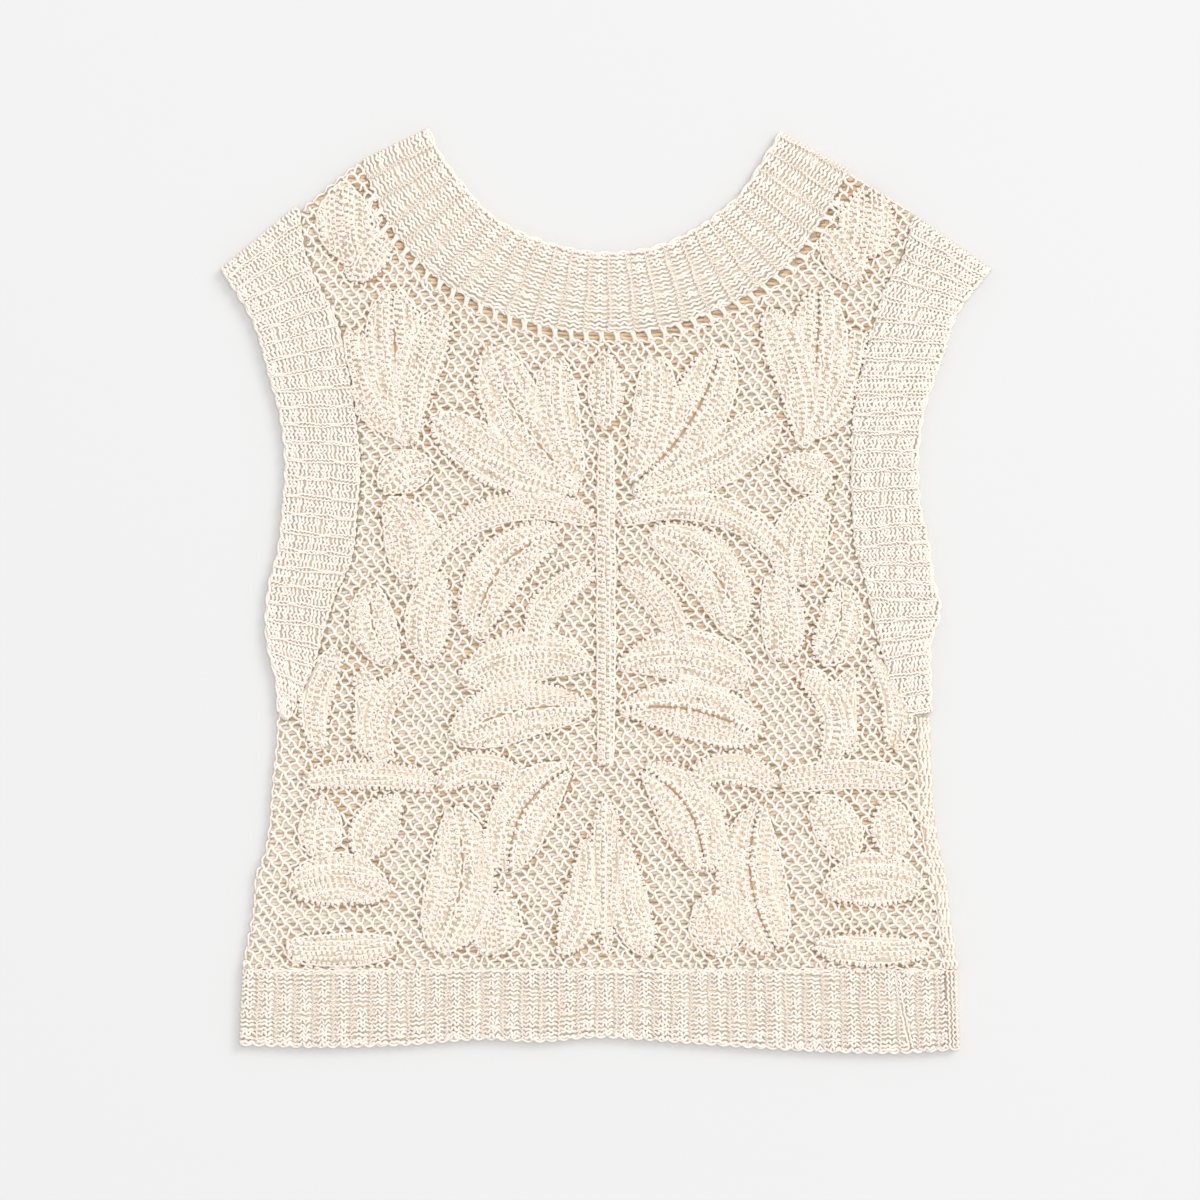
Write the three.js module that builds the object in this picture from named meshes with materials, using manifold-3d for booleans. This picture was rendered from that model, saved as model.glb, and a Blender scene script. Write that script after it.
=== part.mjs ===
// Sleeveless cropped crochet top, laid flat with its front up.
// Millimetres, +Z up, +Y towards the neck, X = 0 on the centre line, Z = 0 on the surface it lies on.
import * as THREE from "three";
import { mergeVertices } from "three/addons/utils/BufferGeometryUtils.js";
import Module from "manifold-3d";

const wasm = await Module();
wasm.setup();

// Thicknesses and levels of the two layers
const BACK_WALL = 2.8;
const SEAM_GAP = 0.3;
const PANEL_INSET = 0.72;
const FRONT_INNER = BACK_WALL + SEAM_GAP;
const NET_WALL = 2.2;
const NET_OUTER = FRONT_INNER + NET_WALL;
const BAND_WALL = 2.4;
const MOTIF_RELIEF = 1.7;

// How far the edge and the seam side of a band's top lie below its middle, as shares of wall and rib
const EDGE_WALL_SHARE = 0.7;
const EDGE_RIB_SHARE = 0.5;
const SEAM_RIB_SHARE = 0.6;

// Ribs of the bands: one rib each pitch along the band, raised over the plain inside.
// A rib rises and falls at these shares of the pitch; the rest is the groove between two ribs.
const RIB_PROFILE = [
  { at: 0.0, lift: 0 },
  { at: 0.12, lift: 1 },
  { at: 0.54, lift: 1 },
  { at: 0.66, lift: 0 },
];
const PLAIN_PROFILE = [{ at: 0, lift: 0 }];
const RIB_HEIGHT = 0.9;
const NECK_RIB_PITCH = 12.6;
const ARM_RIB_PITCH = 10.6;
const HEM_RIB_PITCH = 10.9;
const BACK_PITCH = 11;

// Height of the hem's seam, and how far a rib pushes the hem's lower edge out
const HEM_TOP = -217;
const SCALLOP = 1.4;

// How far the back stays inside the front along the left side seam
const BACK_INSET = 0.6;

// Neckband, from the left shoulder to the right: the neck edge and the edge sewn to the front
const NECK_STATIONS = [
  { edgeX: -101.8, edgeY: 266.2, seamX: -140.3, seamY: 247.5 },
  { edgeX: -96.5, edgeY: 254.0, seamX: -135.5, seamY: 233.5 },
  { edgeX: -88.5, edgeY: 242.4, seamX: -126.5, seamY: 213.6 },
  { edgeX: -79.4, edgeY: 230.9, seamX: -116.7, seamY: 199.8 },
  { edgeX: -69.5, edgeY: 219.4, seamX: -103.5, seamY: 184.9 },
  { edgeX: -55.5, edgeY: 209.5, seamX: -86.5, seamY: 172.5 },
  { edgeX: -37.4, edgeY: 202.0, seamX: -58.0, seamY: 158.8 },
  { edgeX: -18.8, edgeY: 196.8, seamX: -28.2, seamY: 150.5 },
  { edgeX: 0.0, edgeY: 194.8, seamX: 0.0, seamY: 148.6 },
  { edgeX: 20.1, edgeY: 196.5, seamX: 28.2, seamY: 150.2 },
  { edgeX: 39.1, edgeY: 202.2, seamX: 54.1, seamY: 158.0 },
  { edgeX: 54.1, edgeY: 210.2, seamX: 80.0, seamY: 169.4 },
  { edgeX: 66.7, edgeY: 219.4, seamX: 104.1, seamY: 187.2 },
  { edgeX: 77.1, edgeY: 228.6, seamX: 114.5, seamY: 199.8 },
  { edgeX: 85.7, edgeY: 241.2, seamX: 124.2, seamY: 214.2 },
  { edgeX: 93.7, edgeY: 253.9, seamX: 132.3, seamY: 228.6 },
  { edgeX: 100.1, edgeY: 264.0, seamX: 139.2, seamY: 242.6 },
];

// Armbands, from the shoulder down to the side seam: the armhole edge and the edge sewn to the front;
// backOut is how far the back band reaches beyond the front one
const ARM_LEFT_STATIONS = [
  { edgeX: -221.4, edgeY: 184.9, seamX: -176.0, seamY: 222.8, backOut: 0 },
  { edgeX: -212.8, edgeY: 171.6, seamX: -172.5, seamY: 195.2, backOut: 0 },
  { edgeX: -204.7, edgeY: 158.4, seamX: -164.5, seamY: 175.7, backOut: 0 },
  { edgeX: -198.4, edgeY: 141.7, seamX: -154.1, seamY: 155.0, backOut: 0 },
  { edgeX: -193.2, edgeY: 121.6, seamX: -147.8, seamY: 127.4, backOut: 0.6 },
  { edgeX: -187.5, edgeY: 101.5, seamX: -143.8, seamY: 101.5, backOut: 2.2 },
  { edgeX: -184.6, edgeY: 75.6, seamX: -140.9, seamY: 72.7, backOut: 3.0 },
  { edgeX: -185.7, edgeY: 49.7, seamX: -142.6, seamY: 45.7, backOut: 2.6 },
  { edgeX: -188.6, edgeY: 23.9, seamX: -145.5, seamY: 19.8, backOut: 1.0 },
  { edgeX: -193.8, edgeY: 3.7, seamX: -154.7, seamY: -0.9, backOut: 0 },
  { edgeX: -195.5, edgeY: -17.5, seamX: -161.6, seamY: -22.1, backOut: 0 },
  { edgeX: -193.8, edgeY: -33.6, seamX: -167.3, seamY: -42.3, backOut: 0 },
  { edgeX: -189.2, edgeY: -50.9, seamX: -174.8, seamY: -58.9, backOut: 0 },
  { edgeX: -188.0, edgeY: -69.3, seamX: -182.3, seamY: -75.0, backOut: 0 },
];
const ARM_RIGHT_STATIONS = [
  { edgeX: 221.4, edgeY: 184.9, seamX: 176.0, seamY: 217.1, backOut: 0 },
  { edgeX: 212.2, edgeY: 173.9, seamX: 170.8, seamY: 193.5, backOut: 0 },
  { edgeX: 204.1, edgeY: 163.0, seamX: 159.9, seamY: 174.5, backOut: 0 },
  { edgeX: 198.4, edgeY: 150.4, seamX: 154.1, seamY: 155.0, backOut: 0 },
  { edgeX: 193.8, edgeY: 136.0, seamX: 148.9, seamY: 136.6, backOut: 0 },
  { edgeX: 187.5, edgeY: 118.2, seamX: 144.3, seamY: 118.2, backOut: 0 },
  { edgeX: 182.3, edgeY: 100.9, seamX: 141.5, seamY: 99.8, backOut: 0 },
  { edgeX: 179.4, edgeY: 75.6, seamX: 140.3, seamY: 75.6, backOut: 0.4 },
  { edgeX: 180.6, edgeY: 49.7, seamX: 140.9, seamY: 48.0, backOut: 0.4 },
  { edgeX: 185.2, edgeY: 29.6, seamX: 142.6, seamY: 25.6, backOut: 0 },
  { edgeX: 188.6, edgeY: 6.6, seamX: 147.8, seamY: 8.9, backOut: 0 },
  { edgeX: 192.1, edgeY: -6.6, seamX: 151.2, seamY: -7.8, backOut: 0 },
  { edgeX: 190.9, edgeY: -17.5, seamX: 154.1, seamY: -21.0, backOut: 0 },
  { edgeX: 186.3, edgeY: -30.8, seamX: 158.1, seamY: -35.9, backOut: 0 },
  { edgeX: 186.3, edgeY: -50.9, seamX: 163.3, seamY: -54.3, backOut: 0 },
  { edgeX: 186.3, edgeY: -69.3, seamX: 173.7, seamY: -71.6, backOut: 0 },
];

// Hem band, from the left side to the right: its upper edge and its lower edge
const HEM_STATIONS = [
  { topX: -208.5, topY: HEM_TOP, lowX: -210.2, lowY: -259.9 },
  { topX: -165.0, topY: HEM_TOP, lowX: -165.0, lowY: -261.2 },
  { topX: -118.0, topY: HEM_TOP, lowX: -118.0, lowY: -260.0 },
  { topX: -72.0, topY: HEM_TOP, lowX: -72.0, lowY: -256.6 },
  { topX: -38.0, topY: HEM_TOP, lowX: -38.0, lowY: -258.0 },
  { topX: -3.0, topY: HEM_TOP, lowX: -3.0, lowY: -255.4 },
  { topX: 43.0, topY: HEM_TOP, lowX: 43.0, lowY: -258.4 },
  { topX: 89.0, topY: HEM_TOP, lowX: 90.0, lowY: -261.8 },
  { topX: 135.0, topY: HEM_TOP, lowX: 136.0, lowY: -264.2 },
  { topX: 170.0, topY: HEM_TOP, lowX: 171.0, lowY: -264.63 },
  { topX: 202.0, topY: HEM_TOP, lowX: 203.0, lowY: -262.4 },
];

// Body sides below the armholes, from the underarm down to the hem. On the right the back is wrapped
// round to the front as a strip from grooveX to sideX.
const LEFT_SIDE = [
  { sideX: -182.2, y: -75.9 },
  { sideX: -188.0, y: -70.6 },
  { sideX: -188.5, y: -85 },
  { sideX: -190.9, y: -108 },
  { sideX: -192.6, y: -132 },
  { sideX: -195.0, y: -149 },
  { sideX: -201.0, y: -165 },
  { sideX: -202.4, y: -186 },
  { sideX: -207.0, y: -209 },
  { sideX: -208.2, y: HEM_TOP + SEAM_GAP },
];
const RIGHT_SIDE = [
  { grooveX: 178.6, sideX: 186.2, y: -72.4 },
  { grooveX: 179.2, sideX: 186.4, y: -85 },
  { grooveX: 179.0, sideX: 187.0, y: -105 },
  { grooveX: 178.2, sideX: 187.4, y: -121 },
  { grooveX: 182.3, sideX: 190.5, y: -142 },
  { grooveX: 185.7, sideX: 195.0, y: -165 },
  { grooveX: 190.3, sideX: 197.5, y: -184 },
  { grooveX: 193.8, sideX: 200.8, y: -209 },
  { grooveX: 194.6, sideX: 201.6, y: HEM_TOP + SEAM_GAP },
];
const HEM_GROOVE = { topX: 195.0, lowX: 196.6, lowY: -263.0 };
const HEM_SIDE = { topX: 202.0, lowX: 203.0, lowY: -262.4 };

// The strips that come round from the back are rooted this deep in the back wall, and the hem's
// strip stands this far over the net
const STRIP_ROOT = 0.5;
const HEM_STRIP_RISE = 0.4;

// Raised leaf, bud, arch and bell forms of the front, each a bowed stroke from (x0, y0) to (x1, y1).
// bow is the sideways rise of its middle, half its greatest half-width, swell moves that width towards
// the far end, and blunt rounds the ends. Each has a mirror image across the centre line.
const PAIRED_MOTIFS = [
  { x0: 150, y0: 234, x1: 146, y1: 192, bow: 2, half: 16, swell: 1.2, blunt: 0.5 },
  { x0: 126, y0: 206, x1: 144, y1: 178, bow: 2, half: 12, swell: 1.0, blunt: 0.5 },
  { x0: 112, y0: 86, x1: 92, y1: 160, bow: -7, half: 13, swell: 1.3, blunt: 0.42 },
  { x0: 112, y0: 84, x1: 122, y1: 172, bow: -3, half: 17, swell: 1.4, blunt: 0.42 },
  { x0: 116, y0: 88, x1: 145, y1: 150, bow: -8, half: 12, swell: 1.3, blunt: 0.45 },
  { x0: 14, y0: 66, x1: 28, y1: 134, bow: -6, half: 12, swell: 1.4, blunt: 0.42 },
  { x0: 16, y0: 62, x1: 66, y1: 140, bow: -8, half: 17, swell: 1.4, blunt: 0.42 },
  { x0: 16, y0: 58, x1: 98, y1: 100, bow: -6, half: 15, swell: 1.4, blunt: 0.42 },
  { x0: 100, y0: 70, x1: 128, y1: 58, bow: 5, half: 12, swell: 1.0, blunt: 0.5 },
  { x0: 8, y0: 42, x1: 104, y1: 18, bow: 18, half: 8, swell: 1.0, blunt: 0.18 },
  { x0: 26, y0: 34, x1: 74, y1: -26, bow: 14, half: 16, swell: 1.1, blunt: 0.4 },
  { x0: 8, y0: 12, x1: 42, y1: -34, bow: 9, half: 9, swell: 1.0, blunt: 0.25 },
  { x0: 126, y0: 52, x1: 112, y1: 4, bow: -8, half: 16, swell: 1.2, blunt: 0.42 },
  { x0: 94, y0: 10, x1: 100, y1: -40, bow: 5, half: 13, swell: 1.2, blunt: 0.45 },
  { x0: 134, y0: 4, x1: 122, y1: -40, bow: 6, half: 13, swell: 1.1, blunt: 0.45 },
  { x0: 9, y0: -42, x1: 82, y1: -52, bow: 10, half: 15, swell: 1.2, blunt: 0.42 },
  { x0: 9, y0: -68, x1: 88, y1: -84, bow: 8, half: 17, swell: 1.3, blunt: 0.42 },
  { x0: 112, y0: -48, x1: 126, y1: -98, bow: 13, half: 9, swell: 1.0, blunt: 0.25 },
  { x0: 142, y0: -46, x1: 142, y1: -92, bow: -6, half: 9, swell: 1.0, blunt: 0.4 },
  { x0: 153, y0: -34, x1: 164, y1: -90, bow: 8, half: 9, swell: 1.0, blunt: 0.3 },
  { x0: 100, y0: -110, x1: 172, y1: -108, bow: 4, half: 8, swell: 1.0, blunt: 0.18 },
  { x0: 50, y0: -108, x1: 96, y1: -112, bow: 9, half: 9, swell: 1.0, blunt: 0.22 },
  { x0: 118, y0: -120, x1: 138, y1: -154, bow: 5, half: 13, swell: 1.1, blunt: 0.45 },
  { x0: 160, y0: -120, x1: 164, y1: -152, bow: 2, half: 12, swell: 1.1, blunt: 0.45 },
  { x0: 22, y0: -102, x1: 56, y1: -160, bow: 10, half: 18, swell: 1.2, blunt: 0.42 },
  { x0: 88, y0: -124, x1: 98, y1: -206, bow: -10, half: 20, swell: 1.2, blunt: 0.42 },
  { x0: 12, y0: -142, x1: 26, y1: -208, bow: -7, half: 12, swell: 1.2, blunt: 0.45 },
  { x0: 54, y0: -176, x1: 62, y1: -208, bow: 5, half: 15, swell: 1.1, blunt: 0.45 },
  { x0: 126, y0: -174, x1: 180, y1: -172, bow: 8, half: 15, swell: 1.1, blunt: 0.42 },
  { x0: 120, y0: -203, x1: 184, y1: -205, bow: -2, half: 9, swell: 1.0, blunt: 0.3 },
];
const CENTRE_MOTIFS = [
  { x0: 0, y0: 94, x1: 0, y1: 138, bow: 0, half: 10, swell: 1.0, blunt: 0.6 },
  { x0: 0, y0: -100, x1: 0, y1: 86, bow: 0, half: 5, swell: 1.0, blunt: 0.1 },
  { x0: 0, y0: -208, x1: 0, y1: -116, bow: 0, half: 9, swell: 1.3, blunt: 0.5 },
];

// Openings of the eyelet row under the neckband
const EYELET_COUNT = 36;
const EYELET_WIDE = 5.2;
const EYELET_HIGH = 4.6;
const EYELET_DROP = 4.2;
const EYELET_MARGIN = 0.06;

// Sections of a motif: one each this length, and how deep its foot is sunk in the wall
const SECTION_STEP = 12;
const FEWEST_SECTIONS = 5;
const MOTIF_ROOT = 0.8;
const SHOULDER_WIDTH = 0.9;
const SHOULDER_HEIGHT = 0.7;

const CREAM = 0xf6efe3;
const SAND = 0xefe4d3;

function cotton(colour) {
  return new THREE.MeshStandardMaterial({ color: colour, roughness: 0.92, metalness: 0 });
}

// A smooth curve through the named columns of a table
function curveOf(rows, xName, yName) {
  const points = rows.map((row) => new THREE.Vector3(row[xName], row[yName], 0));
  return new THREE.CatmullRomCurve3(points, false, "centripetal");
}

// A closed solid from rings of equal length, joined in order, with both ends closed
function loft(rings) {
  const perRing = rings[0].length;
  const positions = rings.flat(2);
  const faces = [];
  for (let ring = 0; ring < rings.length - 1; ring += 1) {
    for (let k = 0; k < perRing; k += 1) {
      const next = (k + 1) % perRing;
      const a = ring * perRing + k;
      const b = ring * perRing + next;
      faces.push(a, b, b + perRing, a, b + perRing, a + perRing);
    }
  }
  const last = (rings.length - 1) * perRing;
  for (let k = 1; k < perRing - 1; k += 1) {
    faces.push(0, k + 1, k);
    faces.push(last, last + k, last + k + 1);
  }
  return solidFrom(positions, faces);
}

// A manifold solid from flat arrays, turned outwards if the ring order left it inside out
function solidFrom(positions, faces) {
  const make = (list) =>
    new wasm.Manifold(
      new wasm.Mesh({
        numProp: 3,
        vertProperties: new Float32Array(positions),
        triVerts: new Uint32Array(list),
      }),
    );
  const solid = make(faces);
  if (solid.volume() > 0) return solid;
  const turned = [];
  for (let k = 0; k < faces.length; k += 3) turned.push(faces[k], faces[k + 2], faces[k + 1]);
  return make(turned);
}

// A flat plate with the given outline, between two levels
function plate(outline, low, high) {
  const shape = new THREE.Shape(outline.map((p) => new THREE.Vector2(p.x, p.y)));
  const geometry = new THREE.ExtrudeGeometry(shape, { depth: high - low, bevelEnabled: false });
  geometry.translate(0, 0, low);
  geometry.deleteAttribute("normal");
  geometry.deleteAttribute("uv");
  const merged = mergeVertices(geometry, 1e-3);
  return solidFrom(Array.from(merged.attributes.position.array), Array.from(merged.index.array));
}

// Curve parameters at even steps along the middle of a band
function evenShares(outer, inner) {
  const samples = 400;
  const middleAt = (t) => outer.getPoint(t).lerp(inner.getPoint(t), 0.5);
  const lengths = [0];
  let last = middleAt(0);
  for (let k = 1; k <= samples; k += 1) {
    const here = middleAt(k / samples);
    lengths.push(lengths[k - 1] + here.distanceTo(last));
    last = here;
  }
  const parameterAt = (share) => {
    const wanted = share * lengths[samples];
    let k = 1;
    while (k < samples && lengths[k] < wanted) k += 1;
    return (k - 1 + (wanted - lengths[k - 1]) / (lengths[k] - lengths[k - 1])) / samples;
  };
  return { length: lengths[samples], parameterAt };
}

// A band between an outer and an inner edge curve, with ribs across it. The underside is plain.
// The ring at each station is: inner low, outer low, outer top, middle top, inner top.
function bandWall({ outer, inner, pitch, low, wall, rib, profile, scallop = 0, shift = null }) {
  const { length, parameterAt } = evenShares(outer, inner);
  const steps = Math.round(length / pitch);
  const rings = [];
  const addRing = (share, lift) => {
    const t = parameterAt(share);
    const o = outer.getPoint(t);
    const i = inner.getPoint(t);
    const away = shift ? shift(t) : 0;
    const across = o.clone().sub(i).normalize();
    o.addScaledVector(across, away + scallop * lift);
    const raised = rib * lift;
    const middle = o.clone().lerp(i, 0.5);
    rings.push([
      [i.x, i.y, low],
      [o.x, o.y, low],
      [o.x, o.y, low + wall * EDGE_WALL_SHARE + raised * EDGE_RIB_SHARE],
      [middle.x, middle.y, low + wall + raised],
      [i.x, i.y, low + wall + raised * SEAM_RIB_SHARE],
    ]);
  };
  for (let step = 0; step < steps; step += 1) {
    for (const { at, lift } of profile) addRing((step + at) / steps, lift);
  }
  addRing(1, 0);
  return loft(rings);
}

// Points along a curve
function along(curve, count) {
  return Array.from({ length: count + 1 }, (_, k) => curve.getPoint(k / count));
}

// The raised form of one motif: a bowed stroke with a rounded top, its foot sunk in the wall
function motifSolid(row, mirror) {
  const dx = row.x1 - row.x0;
  const dy = row.y1 - row.y0;
  const length = Math.hypot(dx, dy);
  const sections = Math.max(FEWEST_SECTIONS, Math.round(length / SECTION_STEP));
  const bend = new THREE.Vector2(
    (row.x0 + row.x1) / 2 - (2 * row.bow * dy) / length,
    (row.y0 + row.y1) / 2 + (2 * row.bow * dx) / length,
  );
  const spine = new THREE.QuadraticBezierCurve(
    new THREE.Vector2(row.x0, row.y0),
    bend,
    new THREE.Vector2(row.x1, row.y1),
  );
  const foot = NET_OUTER - MOTIF_ROOT;
  const shoulder = NET_OUTER + MOTIF_RELIEF * SHOULDER_HEIGHT;
  const crown = NET_OUTER + MOTIF_RELIEF;
  const rings = [];
  for (let k = 0; k <= sections; k += 1) {
    const t = 0.5 - 0.5 * Math.cos((Math.PI * k) / sections);
    const point = spine.getPoint(t);
    const tangent = spine.getTangent(t);
    const swollen = Math.min(Math.max(t ** row.swell, 0.012), 0.988);
    const half = row.half * Math.sin(Math.PI * swollen) ** row.blunt;
    const nx = -tangent.y * half;
    const ny = tangent.x * half;
    const side = mirror ? -1 : 1;
    const at = (share, z) => [side * (point.x + nx * share), point.y + ny * share, z];
    rings.push([
      at(-1, foot),
      at(1, foot),
      at(SHOULDER_WIDTH, shoulder),
      at(0, crown),
      at(-SHOULDER_WIDTH, shoulder),
    ]);
  }
  return loft(rings);
}

// A six-sided through-cutter for one eyelet, long side along the band
function eyeletCutter(centre, direction, inward) {
  const corners = [
    [-0.5, 0],
    [-0.25, 0.5],
    [0.25, 0.5],
    [0.5, 0],
    [0.25, -0.5],
    [-0.25, -0.5],
  ];
  const ring = (z) =>
    corners.map(([u, v]) => [
      centre.x + direction.x * u * EYELET_WIDE + inward.x * v * EYELET_HIGH,
      centre.y + direction.y * u * EYELET_WIDE + inward.y * v * EYELET_HIGH,
      z,
    ]);
  return loft([ring(FRONT_INNER - 2), ring(NET_OUTER + 4)]);
}

// The mesh of a solid, named and coloured
function meshOf(name, solid, colour) {
  const made = solid.getMesh();
  const positions = new THREE.BufferAttribute(Float32Array.from(made.vertProperties), 3);
  const geometry = new THREE.BufferGeometry();
  geometry.setAttribute("position", positions);
  geometry.setIndex(new THREE.BufferAttribute(Uint32Array.from(made.triVerts), 1));
  const mesh = new THREE.Mesh(geometry, cotton(colour));
  mesh.name = name;
  return mesh;
}

const neckEdge = curveOf(NECK_STATIONS, "edgeX", "edgeY");
const neckSeam = curveOf(NECK_STATIONS, "seamX", "seamY");
const armEdges = {
  left: curveOf(ARM_LEFT_STATIONS, "edgeX", "edgeY"),
  right: curveOf(ARM_RIGHT_STATIONS, "edgeX", "edgeY"),
};
const armSeams = {
  left: curveOf(ARM_LEFT_STATIONS, "seamX", "seamY"),
  right: curveOf(ARM_RIGHT_STATIONS, "seamX", "seamY"),
};
const armRows = { left: ARM_LEFT_STATIONS, right: ARM_RIGHT_STATIONS };
const hemTop = curveOf(HEM_STATIONS, "topX", "topY");
const hemLow = curveOf(HEM_STATIONS, "lowX", "lowY");

// Outline of the front or back panel: band seams moved in by the gap, and the body sides
function panelOutline(leftSide, rightSide) {
  const inward = (curve, count, sign) =>
    along(curve, count).map((point, k) => {
      const tangent = curve.getTangent(k / count);
      const inset = sign * PANEL_INSET;
      return { x: point.x + tangent.y * inset, y: point.y - tangent.x * inset };
    });
  const neck = inward(neckSeam, 40, 1);
  const right = inward(armSeams.right, 28, 1);
  const left = inward(armSeams.left, 28, -1);
  return [
    ...neck,
    ...right,
    ...rightSide.map((row) => ({ x: row.x, y: row.y })),
    ...leftSide.map((row) => ({ x: row.x, y: row.y })).reverse(),
    ...left.reverse(),
  ];
}

const leftRows = LEFT_SIDE.map((row) => ({ x: row.sideX, y: row.y }));
const grooveRows = RIGHT_SIDE.map((row) => ({ x: row.grooveX - SEAM_GAP, y: row.y }));
const backLeft = LEFT_SIDE.map((row) => ({ x: row.sideX + BACK_INSET, y: row.y }));
const backRight = RIGHT_SIDE.map((row) => ({ x: row.sideX, y: row.y }));

// The front panel: net wall, raised motifs, and the eyelet row cut through
function frontPanel() {
  const outline = panelOutline(leftRows, grooveRows);
  const netWall = plate(outline, FRONT_INNER, NET_OUTER);
  const limit = plate(outline, FRONT_INNER - 1, NET_OUTER + MOTIF_RELIEF + 1);
  let motifs = motifSolid(CENTRE_MOTIFS[0], false);
  for (const row of CENTRE_MOTIFS.slice(1)) motifs = motifs.add(motifSolid(row, false));
  for (const row of PAIRED_MOTIFS) {
    motifs = motifs.add(motifSolid(row, false)).add(motifSolid(row, true));
  }
  let panel = netWall.add(motifs.intersect(limit));
  for (let k = 0; k < EYELET_COUNT; k += 1) {
    const share = EYELET_MARGIN + ((1 - 2 * EYELET_MARGIN) * (k + 0.5)) / EYELET_COUNT;
    const tangent = neckSeam.getTangentAt(share);
    const inward = new THREE.Vector3(tangent.y, -tangent.x, 0);
    const centre = neckSeam.getPointAt(share).addScaledVector(inward, EYELET_DROP);
    panel = panel.subtract(eyeletCutter(centre, tangent, inward));
  }
  return panel;
}

// The back panel: a plain wall that lies on the surface, and its strip wrapped round to the front
function backPanel() {
  const wall = plate(panelOutline(backLeft, backRight), 0, BACK_WALL);
  const strip = [
    ...RIGHT_SIDE.map((row) => ({ x: row.grooveX, y: row.y })),
    ...RIGHT_SIDE.map((row) => ({ x: row.sideX, y: row.y })).reverse(),
  ];
  return wall.add(plate(strip, BACK_WALL - STRIP_ROOT, NET_OUTER));
}

// What a ribbed front band and a plain back band have in common
const RIBBED = { low: FRONT_INNER, wall: BAND_WALL, rib: RIB_HEIGHT, profile: RIB_PROFILE };
const PLAIN = { low: 0, wall: BACK_WALL, rib: 0, profile: PLAIN_PROFILE, pitch: BACK_PITCH };

const group = new THREE.Group();
group.add(meshOf("front_panel", frontPanel(), CREAM));
group.add(meshOf("back_panel", backPanel(), SAND));

const neckEdges = { outer: neckEdge, inner: neckSeam };
const neckFront = bandWall({ ...neckEdges, ...RIBBED, pitch: NECK_RIB_PITCH });
group.add(meshOf("neckband_front", neckFront, CREAM));
group.add(meshOf("neckband_back", bandWall({ ...neckEdges, ...PLAIN }), SAND));

for (const side of ["left", "right"]) {
  const edges = { outer: armEdges[side], inner: armSeams[side] };
  const beyond = armRows[side].map((row, k) => ({ x: k, y: row.backOut }));
  const peek = curveOf(beyond, "x", "y");
  const front = bandWall({ ...edges, ...RIBBED, pitch: ARM_RIB_PITCH });
  const back = bandWall({ ...edges, ...PLAIN, shift: (t) => peek.getPoint(t).y });
  group.add(meshOf(`armband_${side}_front`, front, CREAM));
  group.add(meshOf(`armband_${side}_back`, back, SAND));
}

// The front hem stops at the groove, where the back's hem comes round to the front
const CUT_MARGIN = 10;
const GROOVE_SLOPE = (HEM_GROOVE.lowX - HEM_GROOVE.topX) / (HEM_GROOVE.lowY - HEM_TOP);
const beforeGroove = (y) => ({ x: HEM_GROOVE.topX + GROOVE_SLOPE * (y - HEM_TOP) - SEAM_GAP - 0.02, y });
const hemCut = plate(
  [
    beforeGroove(HEM_TOP + CUT_MARGIN),
    beforeGroove(HEM_GROOVE.lowY - CUT_MARGIN),
    { x: HEM_SIDE.lowX + CUT_MARGIN, y: HEM_GROOVE.lowY - CUT_MARGIN },
    { x: HEM_SIDE.lowX + CUT_MARGIN, y: HEM_TOP + CUT_MARGIN },
  ],
  FRONT_INNER - CUT_MARGIN,
  NET_OUTER + CUT_MARGIN,
);
const hemEdges = { outer: hemLow, inner: hemTop };
const hemFront = bandWall({ ...hemEdges, ...RIBBED, pitch: HEM_RIB_PITCH, scallop: SCALLOP });
group.add(meshOf("hem_band_front", hemFront.subtract(hemCut), CREAM));

const hemStrip = plate(
  [
    { x: HEM_GROOVE.topX, y: HEM_TOP },
    { x: HEM_SIDE.topX, y: HEM_TOP },
    { x: HEM_SIDE.lowX, y: HEM_SIDE.lowY },
    { x: HEM_GROOVE.lowX, y: HEM_GROOVE.lowY },
  ],
  BACK_WALL - STRIP_ROOT,
  NET_OUTER + HEM_STRIP_RISE,
);
group.add(meshOf("hem_band_back", bandWall({ ...hemEdges, ...PLAIN }).add(hemStrip), SAND));

export default group;
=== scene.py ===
# %% [markdown]
# # A crocheted top, yarn by yarn
# This lesson dresses a flat sleeveless top. The real one is hooked from one strand of cream cotton, so
# almost everything here is the same thing: a path for the yarn and a thin tube along it. A plain sheet
# with a bump map would be quicker, but it has no holes and no shadows between strands, and those are what
# the eye reads as crochet. The construction model says where each band and panel lies, and the yarn is
# laid on those places.

# %% Load the frame
import math
from collections import namedtuple
import bpy
import numpy as np
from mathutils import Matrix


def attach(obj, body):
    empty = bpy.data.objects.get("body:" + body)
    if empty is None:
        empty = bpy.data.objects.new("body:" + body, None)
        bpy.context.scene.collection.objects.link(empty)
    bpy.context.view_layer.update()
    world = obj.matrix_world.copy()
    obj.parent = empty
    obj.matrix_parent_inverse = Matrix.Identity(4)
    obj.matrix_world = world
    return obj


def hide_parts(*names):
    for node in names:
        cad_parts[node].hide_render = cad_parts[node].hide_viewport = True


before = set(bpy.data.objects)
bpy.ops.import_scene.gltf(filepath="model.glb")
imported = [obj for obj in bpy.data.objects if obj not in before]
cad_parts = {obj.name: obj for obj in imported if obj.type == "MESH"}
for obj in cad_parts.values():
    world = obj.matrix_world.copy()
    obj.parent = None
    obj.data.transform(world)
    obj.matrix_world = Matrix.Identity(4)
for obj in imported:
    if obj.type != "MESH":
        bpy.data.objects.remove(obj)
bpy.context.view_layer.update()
MM = 0.001
print("nodes:", sorted(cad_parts))

# %% [markdown]
# ## Camera
# The photograph is taken from straight above, and nothing in it recedes. An orthographic camera would
# show that too, but a long lens far away keeps the faint perspective of a real one. The photograph is
# 1200 pixels wide and one pixel is 0.575 mm, so the lens follows from the width of the view and the
# camera's height.

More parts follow.
